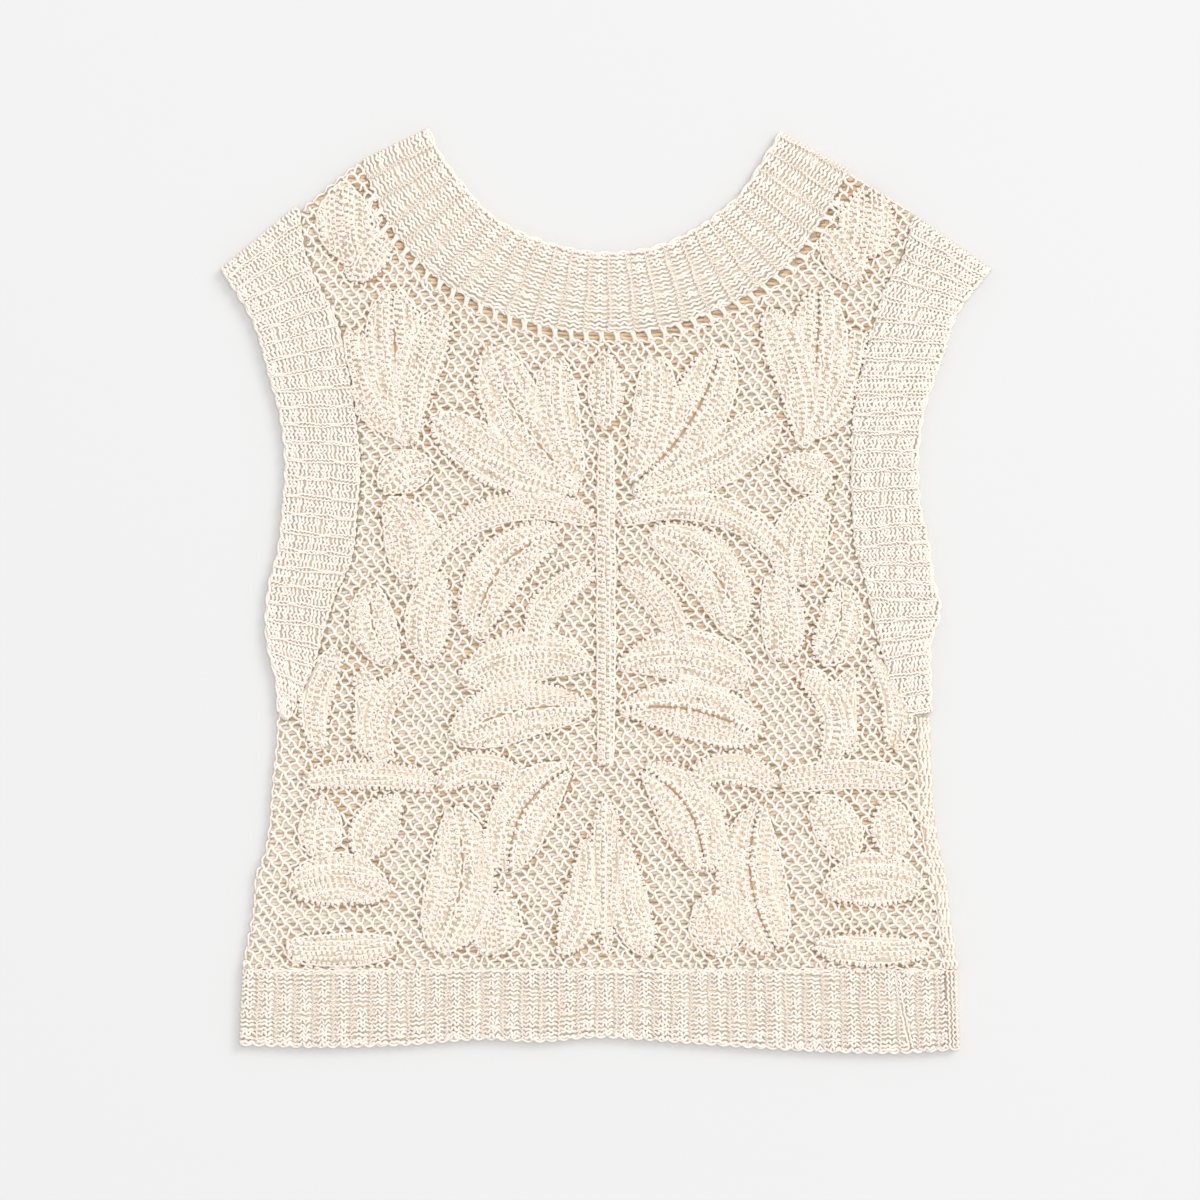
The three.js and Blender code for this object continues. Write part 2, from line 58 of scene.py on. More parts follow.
# %% Camera
PHOTO_SIDE = 1200
PIXEL = 0.575 * MM
VIEW_WIDTH = PHOTO_SIDE * PIXEL
VIEW_CENTRE = (-3.45 * MM, -4.9 * MM)
CAMERA_HEIGHT = 3.0
SENSOR_WIDTH = 36

camera_data = bpy.data.cameras.new("camera")
camera_data.sensor_width = SENSOR_WIDTH
camera_data.lens = camera_data.sensor_width * CAMERA_HEIGHT / VIEW_WIDTH
camera = bpy.data.objects.new("camera", camera_data)
camera.location = (*VIEW_CENTRE, CAMERA_HEIGHT)
bpy.context.collection.objects.link(camera)
bpy.context.scene.camera = camera
print("lens", round(camera_data.lens, 1), "mm")

# %% [markdown]
# ## Helpers for materials
# A material is a tree of nodes joined by links. Written out by hand, each node takes several like lines,
# so one function adds a node of any kind with its settings and inputs. Colours are picked as sRGB hex
# codes, as they are read off a screen, while Blender's sockets want linear light, so one function turns
# the first into the second.

# %% Materials helpers


def linear(hex_colour):
    """A linear RGBA from an sRGB hex string such as "F6EFE3"."""
    parts = [int(hex_colour[k : k + 2], 16) / 255 for k in (0, 2, 4)]
    return [c / 12.92 if c <= 0.04045 else ((c + 0.055) / 1.055) ** 2.4 for c in parts] + [1.0]


def node(tree, kind, inputs=None, **settings):
    """Adds a node, sets its settings, and fills its inputs with values or links from other sockets."""
    made = tree.nodes.new(kind)
    for name, value in settings.items():
        setattr(made, name, value)
    for name, value in (inputs or {}).items():
        if isinstance(value, bpy.types.NodeSocket):
            tree.links.new(value, made.inputs[name])
        else:
            made.inputs[name].default_value = value
    return made


def blank_material(name):
    """A material whose tree has only its output node."""
    made = bpy.data.materials.new(name)
    made.use_nodes = True
    made.node_tree.nodes.clear()
    return made, made.node_tree, made.node_tree.nodes.new("ShaderNodeOutputMaterial")


print("middle grey in linear light:", round(linear("808080")[0], 3))

# %% [markdown]
# ## Floor
# The real top lies on a pale matt surface, which gives the ground tone and takes the soft shadow. A
# background colour alone would give the tone but no shadow, so a large plain square is used. It lies a
# hair below zero, because two faces in one plane flicker.

# %% Floor
FLOOR_SIDE = 9.0
FLOOR_DROP = 0.0002
PAPER = "DCDCDC"

half = FLOOR_SIDE / 2
floor_mesh = bpy.data.meshes.new("floor")
corners = [(-half, -half, 0), (half, -half, 0), (half, half, 0), (-half, half, 0)]
floor_mesh.from_pydata(corners, [], [(0, 1, 2, 3)])
floor = bpy.data.objects.new("floor", floor_mesh)
floor.location.z = -FLOOR_DROP
bpy.context.collection.objects.link(floor)
floor_material, tree, output = blank_material("pale_floor")
paper = node(tree, "ShaderNodeBsdfPrincipled", {"Base Color": linear(PAPER), "Roughness": 0.9})
tree.links.new(paper.outputs[0], output.inputs[0])
floor_mesh.materials.append(floor_material)
print("floor", FLOOR_SIDE, "m square")

# %% [markdown]
# ## Light
# The photograph has a large soft light at the upper right and hardly any deep shadow. A single lamp gives
# the relief its direction but leaves the holes of the net grey. So there are three: a key softbox at the
# upper right, a weaker one overhead that reaches down into the holes, and an even white surround that
# fills what is left.

# %% Light


def area_light(name, place, size, power, target=(0, 0, 0)):
    """A square softbox that faces target; metres and watts."""
    data = bpy.data.lights.new(name, "AREA")
    data.size = size
    data.energy = power
    lamp = bpy.data.objects.new(name, data)
    lamp.location = place
    aim = np.array(target) - np.array(place)
    tilt = math.atan2(math.hypot(aim[0], aim[1]), -aim[2])
    lamp.rotation_euler = (tilt, 0, math.atan2(aim[1], aim[0]) - math.pi / 2)
    bpy.context.collection.objects.link(lamp)
    return lamp


key = area_light("key_softbox", place=(6.0, 5.4, 6.8), size=5.0, power=430)
overhead = area_light("overhead_softbox", place=(0.6, 0.6, 8.5), size=3.0, power=238)
world = bpy.data.worlds.new("studio")
world.use_nodes = True
world.node_tree.nodes["Background"].inputs["Color"].default_value = linear("FFFFFF")
world.node_tree.nodes["Background"].inputs["Strength"].default_value = 0.7
bpy.context.scene.world = world
bpy.context.scene.view_settings.view_transform = "Standard"
print("softboxes:", key.name, "and", overhead.name)

# %% [markdown]
# ## Cotton yarn
# The yarn is plain spun cotton: matt, faintly fuzzy, and cream where the light reaches it. Deep between
# strands, and on a strand's own sides, the light has gone from fibre to fibre and comes out warmer and
# dimmer.
# Hair strands with real scattering would do that by themselves, but so many of them are slow to trace, so
# the material paints that shade. The colour rises from a painted shade tone to a painted lit tone with
# height, the flanks take a share of painted shade, and one piece gets painted hole shade from a value
# stored on its mesh. A twist of the plies is about 0.6 mm, which is a pixel here, so it shows only as a soft
# grain.

# %% Yarn colour
CLOUDS_PER_METRE = 28.0
CLOUD_SHARE = 0.16
STEEP_SIDE = 0.65
# Painted shade colours: one for the holes beside the shapes and under the neckband, one for the steep flanks
# of every strand.
HOLE_SHADE_COLOUR = "EFD1A9"
FLANK_SHADE_COLOUR = "D8BE9A"


def cotton_colour(tree, place, lit, shade, low, high, flank_share, hole_shade_attribute):
    """The socket with the yarn's colour and its painted shade, from its height, its slope and a mesh
    attribute if there is one.
    """
    # Painted shade: the lower a point of the yarn, the more of the shade tone it takes; the higher, the more
    # of the lit tone.
    height = node(tree, "ShaderNodeSeparateXYZ", {"Vector": place.outputs["Position"]})
    depth = node(
        tree,
        "ShaderNodeMapRange",
        {"Value": height.outputs["Z"], "From Min": low * MM, "From Max": high * MM},
        interpolation_type="SMOOTHSTEP",
    )
    # Slow clouds of tone, one about every 36 mm, as in cotton that has been handled and washed.
    cloud = {"Vector": place.outputs["Position"], "Scale": CLOUDS_PER_METRE, "Detail": 2.0}
    clouds = node(tree, "ShaderNodeTexNoise", cloud)
    drift = node(tree, "ShaderNodeMath", {0: clouds.outputs["Fac"], 1: CLOUD_SHARE}, operation="MULTIPLY")
    falling_off = {0: depth.outputs["Result"], 1: drift.outputs[0]}
    level = node(tree, "ShaderNodeMath", falling_off, operation="SUBTRACT", use_clamp=True)
    tones = {"Factor": level.outputs[0], "A": linear(shade), "B": linear(lit)}
    body = node(tree, "ShaderNodeMix", tones, data_type="RGBA")
    # Painted shade on the flanks: the steeper a face, the more of the flank shade colour it takes.
    normal = node(tree, "ShaderNodeSeparateXYZ", {"Vector": place.outputs["Normal"]})
    slope = {"Value": normal.outputs["Z"], "From Max": STEEP_SIDE, "To Min": flank_share, "To Max": 0.0}
    turned = node(tree, "ShaderNodeMapRange", slope)
    sides = {"Factor": turned.outputs["Result"], "A": body.outputs["Result"], "B": linear(FLANK_SHADE_COLOUR)}
    colour = node(tree, "ShaderNodeMix", sides, data_type="RGBA").outputs["Result"]
    # Painted hole shade, in the share that a value stored on the mesh gives.
    if hole_shade_attribute:
        stored = node(tree, "ShaderNodeAttribute", attribute_name=hole_shade_attribute)
        hole_shaded = {"Factor": stored.outputs["Fac"], "A": colour, "B": linear(HOLE_SHADE_COLOUR)}
        colour = node(tree, "ShaderNodeMix", hole_shaded, data_type="RGBA").outputs["Result"]
    return colour


print("sides take", FLANK_SHADE_COLOUR, "and the eyelets", HOLE_SHADE_COLOUR)

# %% [markdown]
# The surface itself is rough and hardly shines. A cotton yarn has a soft pale rim where its loose fibres
# catch the light, which single hairs would give at a great cost. The sheen of the shader gives the eye the
# same rim, and a fine bump stands for the plies.

# %% Yarn surface
TWIST = 0.6
PLY_RELIEF = 0.25


def cotton(name, lit, shade, low, high, flank_share, hole_shade_attribute=None):
    """Matt cotton, painted from shade at height low to lit at height high in millimetres; the last argument
    is an attribute of painted hole shade.
    """
    material, tree, output = blank_material(name)
    place = node(tree, "ShaderNodeNewGeometry")
    colour = cotton_colour(tree, place, lit, shade, low, high, flank_share, hole_shade_attribute)
    grain = {"Vector": place.outputs["Position"], "Scale": 1 / (TWIST * MM), "Detail": 2.0}
    twist = node(tree, "ShaderNodeTexNoise", grain)
    relief = {"Height": twist.outputs["Fac"], "Strength": 0.35, "Distance": PLY_RELIEF * MM}
    fibre = node(tree, "ShaderNodeBump", relief)
    surface = node(
        tree,
        "ShaderNodeBsdfPrincipled",
        {
            "Base Color": colour,
            "Roughness": 0.88,
            "Specular IOR Level": 0.25,
            "Sheen Weight": 0.25,
            "Sheen Roughness": 0.5,
            "Normal": fibre.outputs["Normal"],
        },
    )
    tree.links.new(surface.outputs[0], output.inputs[0])
    return material


print("one twist of the plies is", round(TWIST * MM / PIXEL, 1), "pixels")

# %% [markdown]
# ## Six tones of one cotton
# All of it is the same yarn, crocheted, but the eye sees it in six places. One material for all would
# need a darkness that depends on what is near, which is slow to trace and hard to steer. So the shade is
# painted into six lit and shaded tones of it, which are easy to match.

# %% The tones
# Net and raised stitches: painted shade on the flanks, so that each stitch stands out from the next.
front_cotton = cotton("cotton_front", "F8EEE4", "F6E9DA", low=3.0, high=4.6, flank_share=0.48)
# Bands: the rows lie close together, so less of their sides is seen, less painted flank shade shows, and the
# bands look smoother and paler.
band_cotton = cotton("cotton_in_bands", "FAF1E8", "F6EADD", low=3.0, high=4.6, flank_share=0.4)
# Back: a bright painted lit tone, as it has only the light that falls through the net, and painted hole shade
# where the mesh's stored value says so.
back_cotton = cotton("cotton_back", "FFF8EC", "FFF2E0", low=0.8, high=2.6, flank_share=0.1, hole_shade_attribute="painted_hole_shade")
# Slabs: painted with the shade that yarn has deep between its stitches, lighter behind rows and darkest in
# slits.
shade_backing_cotton = cotton("cotton_shade_between_stitches", "E8D8C2", "DCCBB0", low=1.0, high=5.0, flank_share=0.0)
band_shade_backing = cotton("cotton_shade_behind_rows", "F1E3CF", "E9D8BF", low=1.0, high=5.0, flank_share=0.0)
slit_shade_cotton = cotton("cotton_shade_in_slits", "C8A980", "BC9C74", low=1.0, high=5.0, flank_share=0.0)
print("cottons:", [m.name for m in bpy.data.materials if m.name.startswith("cotton")])

# %% [markdown]
# ## Tubes
# A strand of yarn is a list of points and a radius. Blender's own curves with a bevel would give the same
# tube, but thousands of curve objects are slow to make and to join. Here numpy works out all rings of all
# strands at once. Four sides are enough at 2 mm thick, because the shading is smooth, and they keep the
# whole top under a million faces. All strands of one piece share one mesh.

# %% Pieces from arrays


def runs(points, keep, shortest=3):
    """The stretches of a strand where keep is true."""
    edges = np.flatnonzero(np.diff(np.concatenate([[0], keep.astype(int), [0]])))
    return [points[a:b] for a, b in zip(edges[::2], edges[1::2]) if b - a >= shortest]


def joined(parts):
    """Several (vertices, quads) pairs as one."""
    vertices, faces, offset = [], [], 0
    for part_vertices, part_faces in parts:
        vertices.append(part_vertices)
        faces.append(part_faces + offset)
        offset += len(part_vertices)
    return np.concatenate(vertices), np.concatenate(faces)


def placed(name, mesh):
    """An object of a mesh that rides on the top's body."""
    piece = bpy.data.objects.new(name, mesh)
    bpy.context.collection.objects.link(piece)
    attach(piece, "root")
    return piece


def new_piece(name, parts):
    """A smooth-shaded mesh object from parts, each ((vertices, quads), material), in millimetres."""
    vertices, faces = joined([arrays for arrays, _ in parts])
    mesh = bpy.data.meshes.new(name)
    mesh.from_pydata(vertices * MM, [], faces)
    mesh.polygons.foreach_set("use_smooth", np.ones(len(mesh.polygons), dtype=bool))
    kinds = list(dict.fromkeys(material for _, material in parts))
    for kind in kinds:
        mesh.materials.append(kind)
    slots = np.repeat([kinds.index(m) for _, m in parts], [len(arrays[1]) for arrays, _ in parts])
    mesh.polygons.foreach_set("material_index", slots.astype(np.int32))
    print(name, 2 * len(mesh.polygons), "triangles")
    return placed(name, mesh)


# %% Tubes along strands
SIDES = 4
UPRIGHT = 0.15


def tube_arrays(strands, radius):
    """Vertices and quads of closed tubes from (n, 3) strands; radius is one number or one for each."""
    points = np.concatenate(strands)
    counts = np.array([len(s) for s in strands])
    strand_of = np.repeat(np.arange(len(strands)), counts)
    radii = np.broadcast_to(np.asarray(radius, float), len(strands))[strand_of]
    first = np.concatenate([[0], np.cumsum(counts)[:-1]])
    last = np.cumsum(counts) - 1
    before = np.maximum(np.arange(len(points)) - 1, first[strand_of])
    after = np.minimum(np.arange(len(points)) + 1, last[strand_of])
    along = points[after] - points[before]
    along /= np.maximum(np.linalg.norm(along, axis=1), 1e-6)[:, None]
    side = np.stack([along[:, 1], -along[:, 0], np.zeros(len(points))], axis=1)
    side[np.linalg.norm(side, axis=1) < UPRIGHT] = (1, 0, 0)
    side /= np.linalg.norm(side, axis=1)[:, None]
    up = np.cross(side, along)
    angles = np.arange(SIDES) * 2 * math.pi / SIDES
    ring = side[:, None] * np.cos(angles)[None, :, None] + up[:, None] * np.sin(angles)[None, :, None]
    vertices = points[:, None] + ring * radii[:, None, None]
    starts = np.setdiff1d(np.arange(len(points)), last)
    k = np.arange(SIDES)
    here = starts[:, None] * SIDES + k
    turned = starts[:, None] * SIDES + (k + 1) % SIDES
    walls = np.stack([here, turned, turned + SIDES, here + SIDES], axis=2).reshape(-1, 4)
    first_cap = first[:, None] * SIDES + k[::-1]
    last_cap = last[:, None] * SIDES + k
    return vertices.reshape(-1, 3), np.concatenate([walls, first_cap, last_cap])


print("a tube along two points has", len(tube_arrays([np.eye(3)[:2]], 1.0)[1]), "faces")

# %% [markdown]
# ## An uneven hand
# A hooked strand never runs quite true: the tension of the hand drifts from stitch to stitch. Noise at
# every point looks like wire wool, so a strand gets slow waves with a random start as well. The seed is
# fixed, so that every run makes the same top.

# %% Wander
rng = np.random.default_rng(11)
FULL_TURN = 6.28


def any_phase():
    """A random start within a wave."""
    return rng.uniform(0, FULL_TURN)


def wander(along, *waves):
    """A slow drift along a strand: the sum of sine waves, each given by its height and its radian length."""
    return sum(height * np.sin(along / reach + any_phase()) for height, reach in waves)


print("a full turn is taken as", FULL_TURN, "radians")

# %% [markdown]
# ## Where the bands run
# Neck, armholes and hem of the real top are edged with ribbed bands. The tables repeat the construction
# model's stations: a place on a band's free edge and the matching place on its seam. Offsetting one line
# by a fixed width would be shorter, but the real bands narrow toward the underarm. A smooth curve runs
# through each column, and distance along the band is measured on its middle line.

# %% Levels and stations
BACK_WALL = 2.8
SEAM_GAP = 0.3
FRONT_INNER = BACK_WALL + SEAM_GAP
NET_OUTER = FRONT_INNER + 2.2
HEM_TOP = -217.0

NECK = np.array([
    # edge x, edge y, seam x, seam y
    (-101.8, 266.2, -140.3, 247.5), (-96.5, 254.0, -135.5, 233.5), (-88.5, 242.4, -126.5, 213.6),
    (-79.4, 230.9, -116.7, 199.8), (-69.5, 219.4, -103.5, 184.9), (-55.5, 209.5, -86.5, 172.5),
    (-37.4, 202.0, -58.0, 158.8), (-18.8, 196.8, -28.2, 150.5), (0.0, 194.8, 0.0, 148.6),
    (20.1, 196.5, 28.2, 150.2), (39.1, 202.2, 54.1, 158.0), (54.1, 210.2, 80.0, 169.4),
    (66.7, 219.4, 104.1, 187.2), (77.1, 228.6, 114.5, 199.8), (85.7, 241.2, 124.2, 214.2),
    (93.7, 253.9, 132.3, 228.6), (100.1, 264.0, 139.2, 242.6),
])
ARM_LEFT = np.array([
    (-221.4, 184.9, -176.0, 222.8), (-212.8, 171.6, -172.5, 195.2), (-204.7, 158.4, -164.5, 175.7),
    (-198.4, 141.7, -154.1, 155.0), (-193.2, 121.6, -147.8, 127.4), (-187.5, 101.5, -143.8, 101.5),
    (-184.6, 75.6, -140.9, 72.7), (-185.7, 49.7, -142.6, 45.7), (-188.6, 23.9, -145.5, 19.8),
    (-193.8, 3.7, -154.7, -0.9), (-195.5, -17.5, -161.6, -22.1), (-193.8, -33.6, -167.3, -42.3),
    (-189.2, -50.9, -174.8, -58.9), (-188.0, -69.3, -182.3, -75.0),
])
ARM_RIGHT = np.array([
    (221.4, 184.9, 176.0, 217.1), (212.2, 173.9, 170.8, 193.5), (204.1, 163.0, 159.9, 174.5),
    (198.4, 150.4, 154.1, 155.0), (193.8, 136.0, 148.9, 136.6), (187.5, 118.2, 144.3, 118.2),
    (182.3, 100.9, 141.5, 99.8), (179.4, 75.6, 140.3, 75.6), (180.6, 49.7, 140.9, 48.0),
    (185.2, 29.6, 142.6, 25.6), (188.6, 6.6, 147.8, 8.9), (192.1, -6.6, 151.2, -7.8),
    (190.9, -17.5, 154.1, -21.0), (186.3, -30.8, 158.1, -35.9), (186.3, -50.9, 163.3, -54.3),
    (186.3, -69.3, 173.7, -71.6),
])
HEM = np.array([
    (-210.2, -259.9, -208.5, HEM_TOP), (-165.0, -261.2, -165.0, HEM_TOP), (-118.0, -260.0, -118.0, HEM_TOP),
    (-72.0, -256.6, -72.0, HEM_TOP), (-38.0, -258.0, -38.0, HEM_TOP), (-3.0, -255.4, -3.0, HEM_TOP),
    (43.0, -258.4, 43.0, HEM_TOP), (90.0, -261.8, 89.0, HEM_TOP), (136.0, -264.2, 135.0, HEM_TOP),
    (171.0, -264.6, 170.0, HEM_TOP), (203.0, -262.4, 202.0, HEM_TOP),
])
print("the front's net lies from", round(FRONT_INNER, 1), "to", round(NET_OUTER, 1), "mm")

# %% Bands
FINE = 40


def catmull(points, at):
    """Places on a smooth curve through points; at runs from 0 at the first to len(points) - 1 at the last."""
    count = len(points)
    seg = np.clip(at.astype(int), 0, count - 2)
    t = (at - seg)[:, None]
    p1, p2 = points[seg], points[seg + 1]
    p0 = np.where((seg > 0)[:, None], points[np.maximum(seg - 1, 0)], 2 * p1 - p2)
    p3 = np.where((seg < count - 2)[:, None], points[np.minimum(seg + 2, count - 1)], 2 * p2 - p1)
    square = (2 * p0 - 5 * p1 + 4 * p2 - p3) * t**2
    return 0.5 * (2 * p1 + (p2 - p0) * t + square + (3 * p1 - p0 - 3 * p2 + p3) * t**3)


class Band:
    """A band from its seam, where v is 0, to its free edge, where v is 1; u is mm along its middle."""

    def __init__(self, stations):
        fine = np.linspace(0, len(stations) - 1, FINE * len(stations))
        self.edge = catmull(stations[:, :2], fine)
        self.seam = catmull(stations[:, 2:], fine)
        self.widths = np.linalg.norm(self.edge - self.seam, axis=1)
        self.width = float(np.mean(self.widths))
        steps = np.linalg.norm(np.diff((self.edge + self.seam) / 2, axis=0), axis=1)
        self.u = np.concatenate([[0], np.cumsum(steps)])
        self.length = self.u[-1]

    def at(self, u, v):
        """Places in the plane at distances u and shares v."""
        edge = np.stack([np.interp(u, self.u, self.edge[:, k]) for k in (0, 1)], axis=-1)
        seam = np.stack([np.interp(u, self.u, self.seam[:, k]) for k in (0, 1)], axis=-1)
        return seam + (edge - seam) * np.asarray(v)[..., None]

    def width_at(self, u):
        """Distance from seam to edge."""
        return np.interp(u, self.u, self.widths)


neckband = Band(NECK)
armband_left = Band(ARM_LEFT)
armband_right = Band(ARM_RIGHT)
hem_band = Band(HEM)
for band in (neckband, armband_left, armband_right, hem_band):
    print("band", round(band.length), "x", round(band.width, 1), "mm")

# %% [markdown]
# ## Ribbed bands
# A band is rows of yarn that run along it, one every 2.2 to 2.5 mm. Across the rows stand the ribs: in a
# broad column the strand ripples gently, and in the narrow column between two ribs it dips and hooks over
# the row beside it. One stitch could be modelled and repeated, but the repeats would show at once where a
# band bends. A row drawn as one long strand follows the bend, and each row gets its own wander.

# %% Rows of a ribbed band
# Pitches, sway and scallops are in mm; ripple and hook are shares of a row's pitch; lean slants the ripples.
Ribbing = namedtuple(
    "Ribbing",
    "row_pitch rib_pitch ripple hook lean cord_sway cord_twins scallop scallop_pitch",
    defaults=(0.0, 0.0, (), 0.0, 1.0),
)
ROW_STEP = 1.0
BROAD = 0.66
RIPPLES = 2
FIRST_ROW = 0.6
PHASE_SPREAD = 0.6
VIGOUR = (0.5, 15.0)
ROW_DRIFT = ((0.28, 8.0), (0.2, 2.9))
HOOK_CENTRE = 0.35
HOOK_DIP, HOOK_RISE = -0.45, 0.5
RIPPLE_LIFT = 0.18
ROW_ROUGHNESS = 0.1
ROW_MARGIN = 0.5
FULLER, FULLER_WITHIN = 0.14, 14


def ribbed_rows(band, ribbing, crown, rib, yarn, every=1.0, keep=None):
    """Strands along a band and their radii. Rows near the free edge are fuller; keep says where rows run."""
    rib_pitch = band.length / round(band.length / ribbing.rib_pitch)
    u = np.linspace(0, band.length, int(band.length / (ROW_STEP * every)))
    width = band.width_at(u)
    place = (u / rib_pitch) % 1
    broad = place < BROAD
    swell = np.where(broad, np.abs(np.sin(math.pi * place / BROAD)) ** 0.5, 0)
    in_hook = np.clip((place - BROAD) / (1 - BROAD), 0, 1)
    peak = 1 - np.abs(2 * in_hook - 1)
    strands, radii = [], []
    for row in range(int(width.max() / ribbing.row_pitch)):
        from_edge = (row + FIRST_ROW) * ribbing.row_pitch
        turn = 2 * math.pi * RIPPLES * place / BROAD + rng.uniform(-PHASE_SPREAD, PHASE_SPREAD)
        vigour = 1 + wander(u, VIGOUR)
        wave = vigour * np.sin(turn) + ribbing.lean * (place / BROAD - 0.5)
        drift = wander(u, *ROW_DRIFT)
        hooked = ribbing.hook * ribbing.row_pitch * (peak - HOOK_CENTRE)
        shift = np.where(broad, ribbing.ripple * ribbing.row_pitch * wave, hooked) + drift
        xy = band.at(u, 1 - (from_edge - shift) / width)
        lift = crown - yarn + rib * swell
        lift = lift + np.where(broad, RIPPLE_LIFT * np.cos(turn), HOOK_DIP + HOOK_RISE * peak)
        lift = lift + rng.normal(0, ROW_ROUGHNESS, len(u))
        wanted = from_edge < width - ROW_MARGIN
        if keep is not None:
            wanted &= keep(xy)
        found = runs(np.column_stack([xy, lift]), wanted)
        strands += found
        radii += [yarn * (1 + FULLER * max(0.0, 1 - from_edge / FULLER_WITHIN))] * len(found)
    return strands, radii


print("broad column", round(100 * BROAD), "% of a rib's pitch")

# %% [markdown]
# Between two ribs of the real band a chain of loops climbs from the seam to the edge, and the free edge
# itself is a strand that scallops. Both are strands again: the chain is a zigzag across the band, or two
# wavy strands side by side on the armbands, and the edge is a line whose share of the width rises and
# falls.

# %% Cords and edges
CORD_LEVEL = FRONT_INNER + 2.5
CORD_STEP = 1.25
CORD_FROM, CORD_SHORT = 0.8, 0.6
CORD_DRIFT = ((0.45, 4.6), (0.25, 1.9))
CORD_LIFT = 0.16
CORD_ROUGHNESS, CORD_LIFT_ROUGHNESS = 0.15, 0.05
SCALLOP_WIDTH = 12
EDGE_LIFT, EDGE_WAVE = 0.25, 1.9


def rib_cords(band, ribbing):
    """Cords across a band at every rib: one zigzag chain, or two wavy strands side by side."""
    count = round(band.length / ribbing.rib_pitch)
    found = []
    for k in range(count):
        u = (k + (1 + BROAD) / 2) * band.length / count
        width = float(band.width_at(u))
        along = np.arange(CORD_FROM, width - CORD_SHORT, CORD_STEP)
        zigzag = (-1.0) ** np.arange(len(along))
        for twin in ribbing.cord_twins:
            slow = wander(along, *CORD_DRIFT)
            lean = ribbing.cord_sway * zigzag + rng.normal(0, CORD_ROUGHNESS, len(along)) + twin + slow
            xy = band.at(u + lean, along / width)
            over = -zigzag if twin > 0 else zigzag
            z = CORD_LEVEL + CORD_LIFT * over + rng.normal(0, CORD_LIFT_ROUGHNESS, len(along))
            found.append(np.column_stack([xy, z]))
    return found


def edge_strand(band, v, level, scallop, pitch, start=0.0, stop=None):
    """One strand along the band at share v, with scallops of that depth."""
    stop = band.length if stop is None else stop
    u = np.linspace(start, stop, int((stop - start) / ROW_STEP))
    share = v + scallop * np.abs(np.sin(math.pi * u / pitch)) / np.maximum(band.width_at(u), SCALLOP_WIDTH)
    return np.column_stack([band.at(u, share), level + EDGE_LIFT * np.sin(u / EDGE_WAVE)])


print("cords lie at", round(CORD_LEVEL, 1), "mm")

# %% [markdown]
# ## Backing
# Real rows are hooked through each other and leave no gap. To model each hook would take many times the
# yarn, so behind the rows lies a thin slab painted in the shade that yarn has deep between stitches. It
# closes what the rows leave open.

# %% Slabs between two lines
BACKING = 1.2
NARROWEST = 6


def slab_between(left, right, low, high):
    """A closed slab between two lines in the plane, from height low to height high."""
    count = len(left)
    corners = ((left, low), (right, low), (right, high), (left, high))
    ring = np.stack([np.column_stack([line, np.full(count, z)]) for line, z in corners], axis=1)
    k = np.arange(4)
    starts = np.arange(count - 1)[:, None] * 4
    walls = np.stack([starts + k, starts + (k + 1) % 4, starts + (k + 1) % 4 + 4, starts + k + 4], axis=2)
    caps = np.array([[3, 2, 1, 0], [0, 1, 2, 3]]) + np.array([[0], [4 * (count - 1)]])
    return ring.reshape(-1, 3), np.concatenate([walls.reshape(-1, 4), caps])


def strip_slab(band, low, high, inset=1.0, step=8.0, start=0.0, stop=None):
    """The slab under a band's rows, inset from its seam and its edge."""
    stop = band.length if stop is None else stop
    u = np.linspace(start, stop, int((stop - start) / step) + 2)
    margin = inset / np.maximum(band.width_at(u), NARROWEST)
    return slab_between(band.at(u, margin), band.at(u, 1 - margin), low, high)


print("a band's backing is", BACKING, "mm thick")

# %% [markdown]
# ## One band as two pieces
# Each band is two pieces, the yarn and the slab behind it. No strand has the area of the cut piece, but the
# slab has it, so the slab is the piece returned for the band and the yarn goes with it. To declare every
# strand as cloth would be wrong, as no strand has the area of the cut piece. The front bands lie on the
# back bands, 0.3 mm apart.

# %% One band


def flat_of(band):
    """Length and width of the straight strip that a band is cut as, in metres."""
    return (band.length * MM, float(band.widths.max()) * MM)


def band_piece(name, yarn_parts, slab):
    """The yarn and backing of one band. The construction model's node is hidden, and the backing is returned
    for it.
    """
    yarn = new_piece(name + "_yarn", yarn_parts)
    backing = new_piece(name + "_backing", [(slab, band_shade_backing)])
    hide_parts(name)
    return backing


print("neckband cut", [round(side, 3) for side in flat_of(neckband)], "m")

# %% [markdown]
# ## The hem's right corner
# The front hem stops at a slanting groove near the right side, where the back's hem comes round to the
# front. That strip is three columns of V-shaped stitches, and left of it the front hem has a seam of its
# own between two cords. It could be one more band with its own stations, but it is only as wide as three
# stitches, so its strands are drawn upward along the groove.

# %% Groove, columns and seam
HEM_LOW = -263.0
GROOVE_TOP_X, GROOVE_LOW_X = 195.0, 196.6
HEM_SEAM = np.array([(-263.0, 175.4), (-238.0, 169.6), (-220.5, 167.3)])
GROOVE_CLEAR, SEAM_CLEAR = 0.25, 1.3
COLUMNS = (0.95, 3.2, 5.5)
COLUMN_TURN, COLUMN_LIFT = 0.5, 0.45
COLUMN_FOOT, COLUMN_STEP, COLUMN_LEVEL = -261.8, 1.7, 5.3
SEAM_CORDS = (-1.2, 1.0)
SEAM_CORD_FOOT, SEAM_CORD_STEP, SEAM_CORD_LEVEL = -262.0, 1.2, 5.0


def groove_x(y):
    """Where the hem's groove runs."""
    return np.interp(y, [HEM_LOW, HEM_TOP], [GROOVE_LOW_X, GROOVE_TOP_X])


def hem_seam_x(y):
    """Where the front hem's own seam runs."""
    return np.interp(y, HEM_SEAM[:, 0], HEM_SEAM[:, 1])


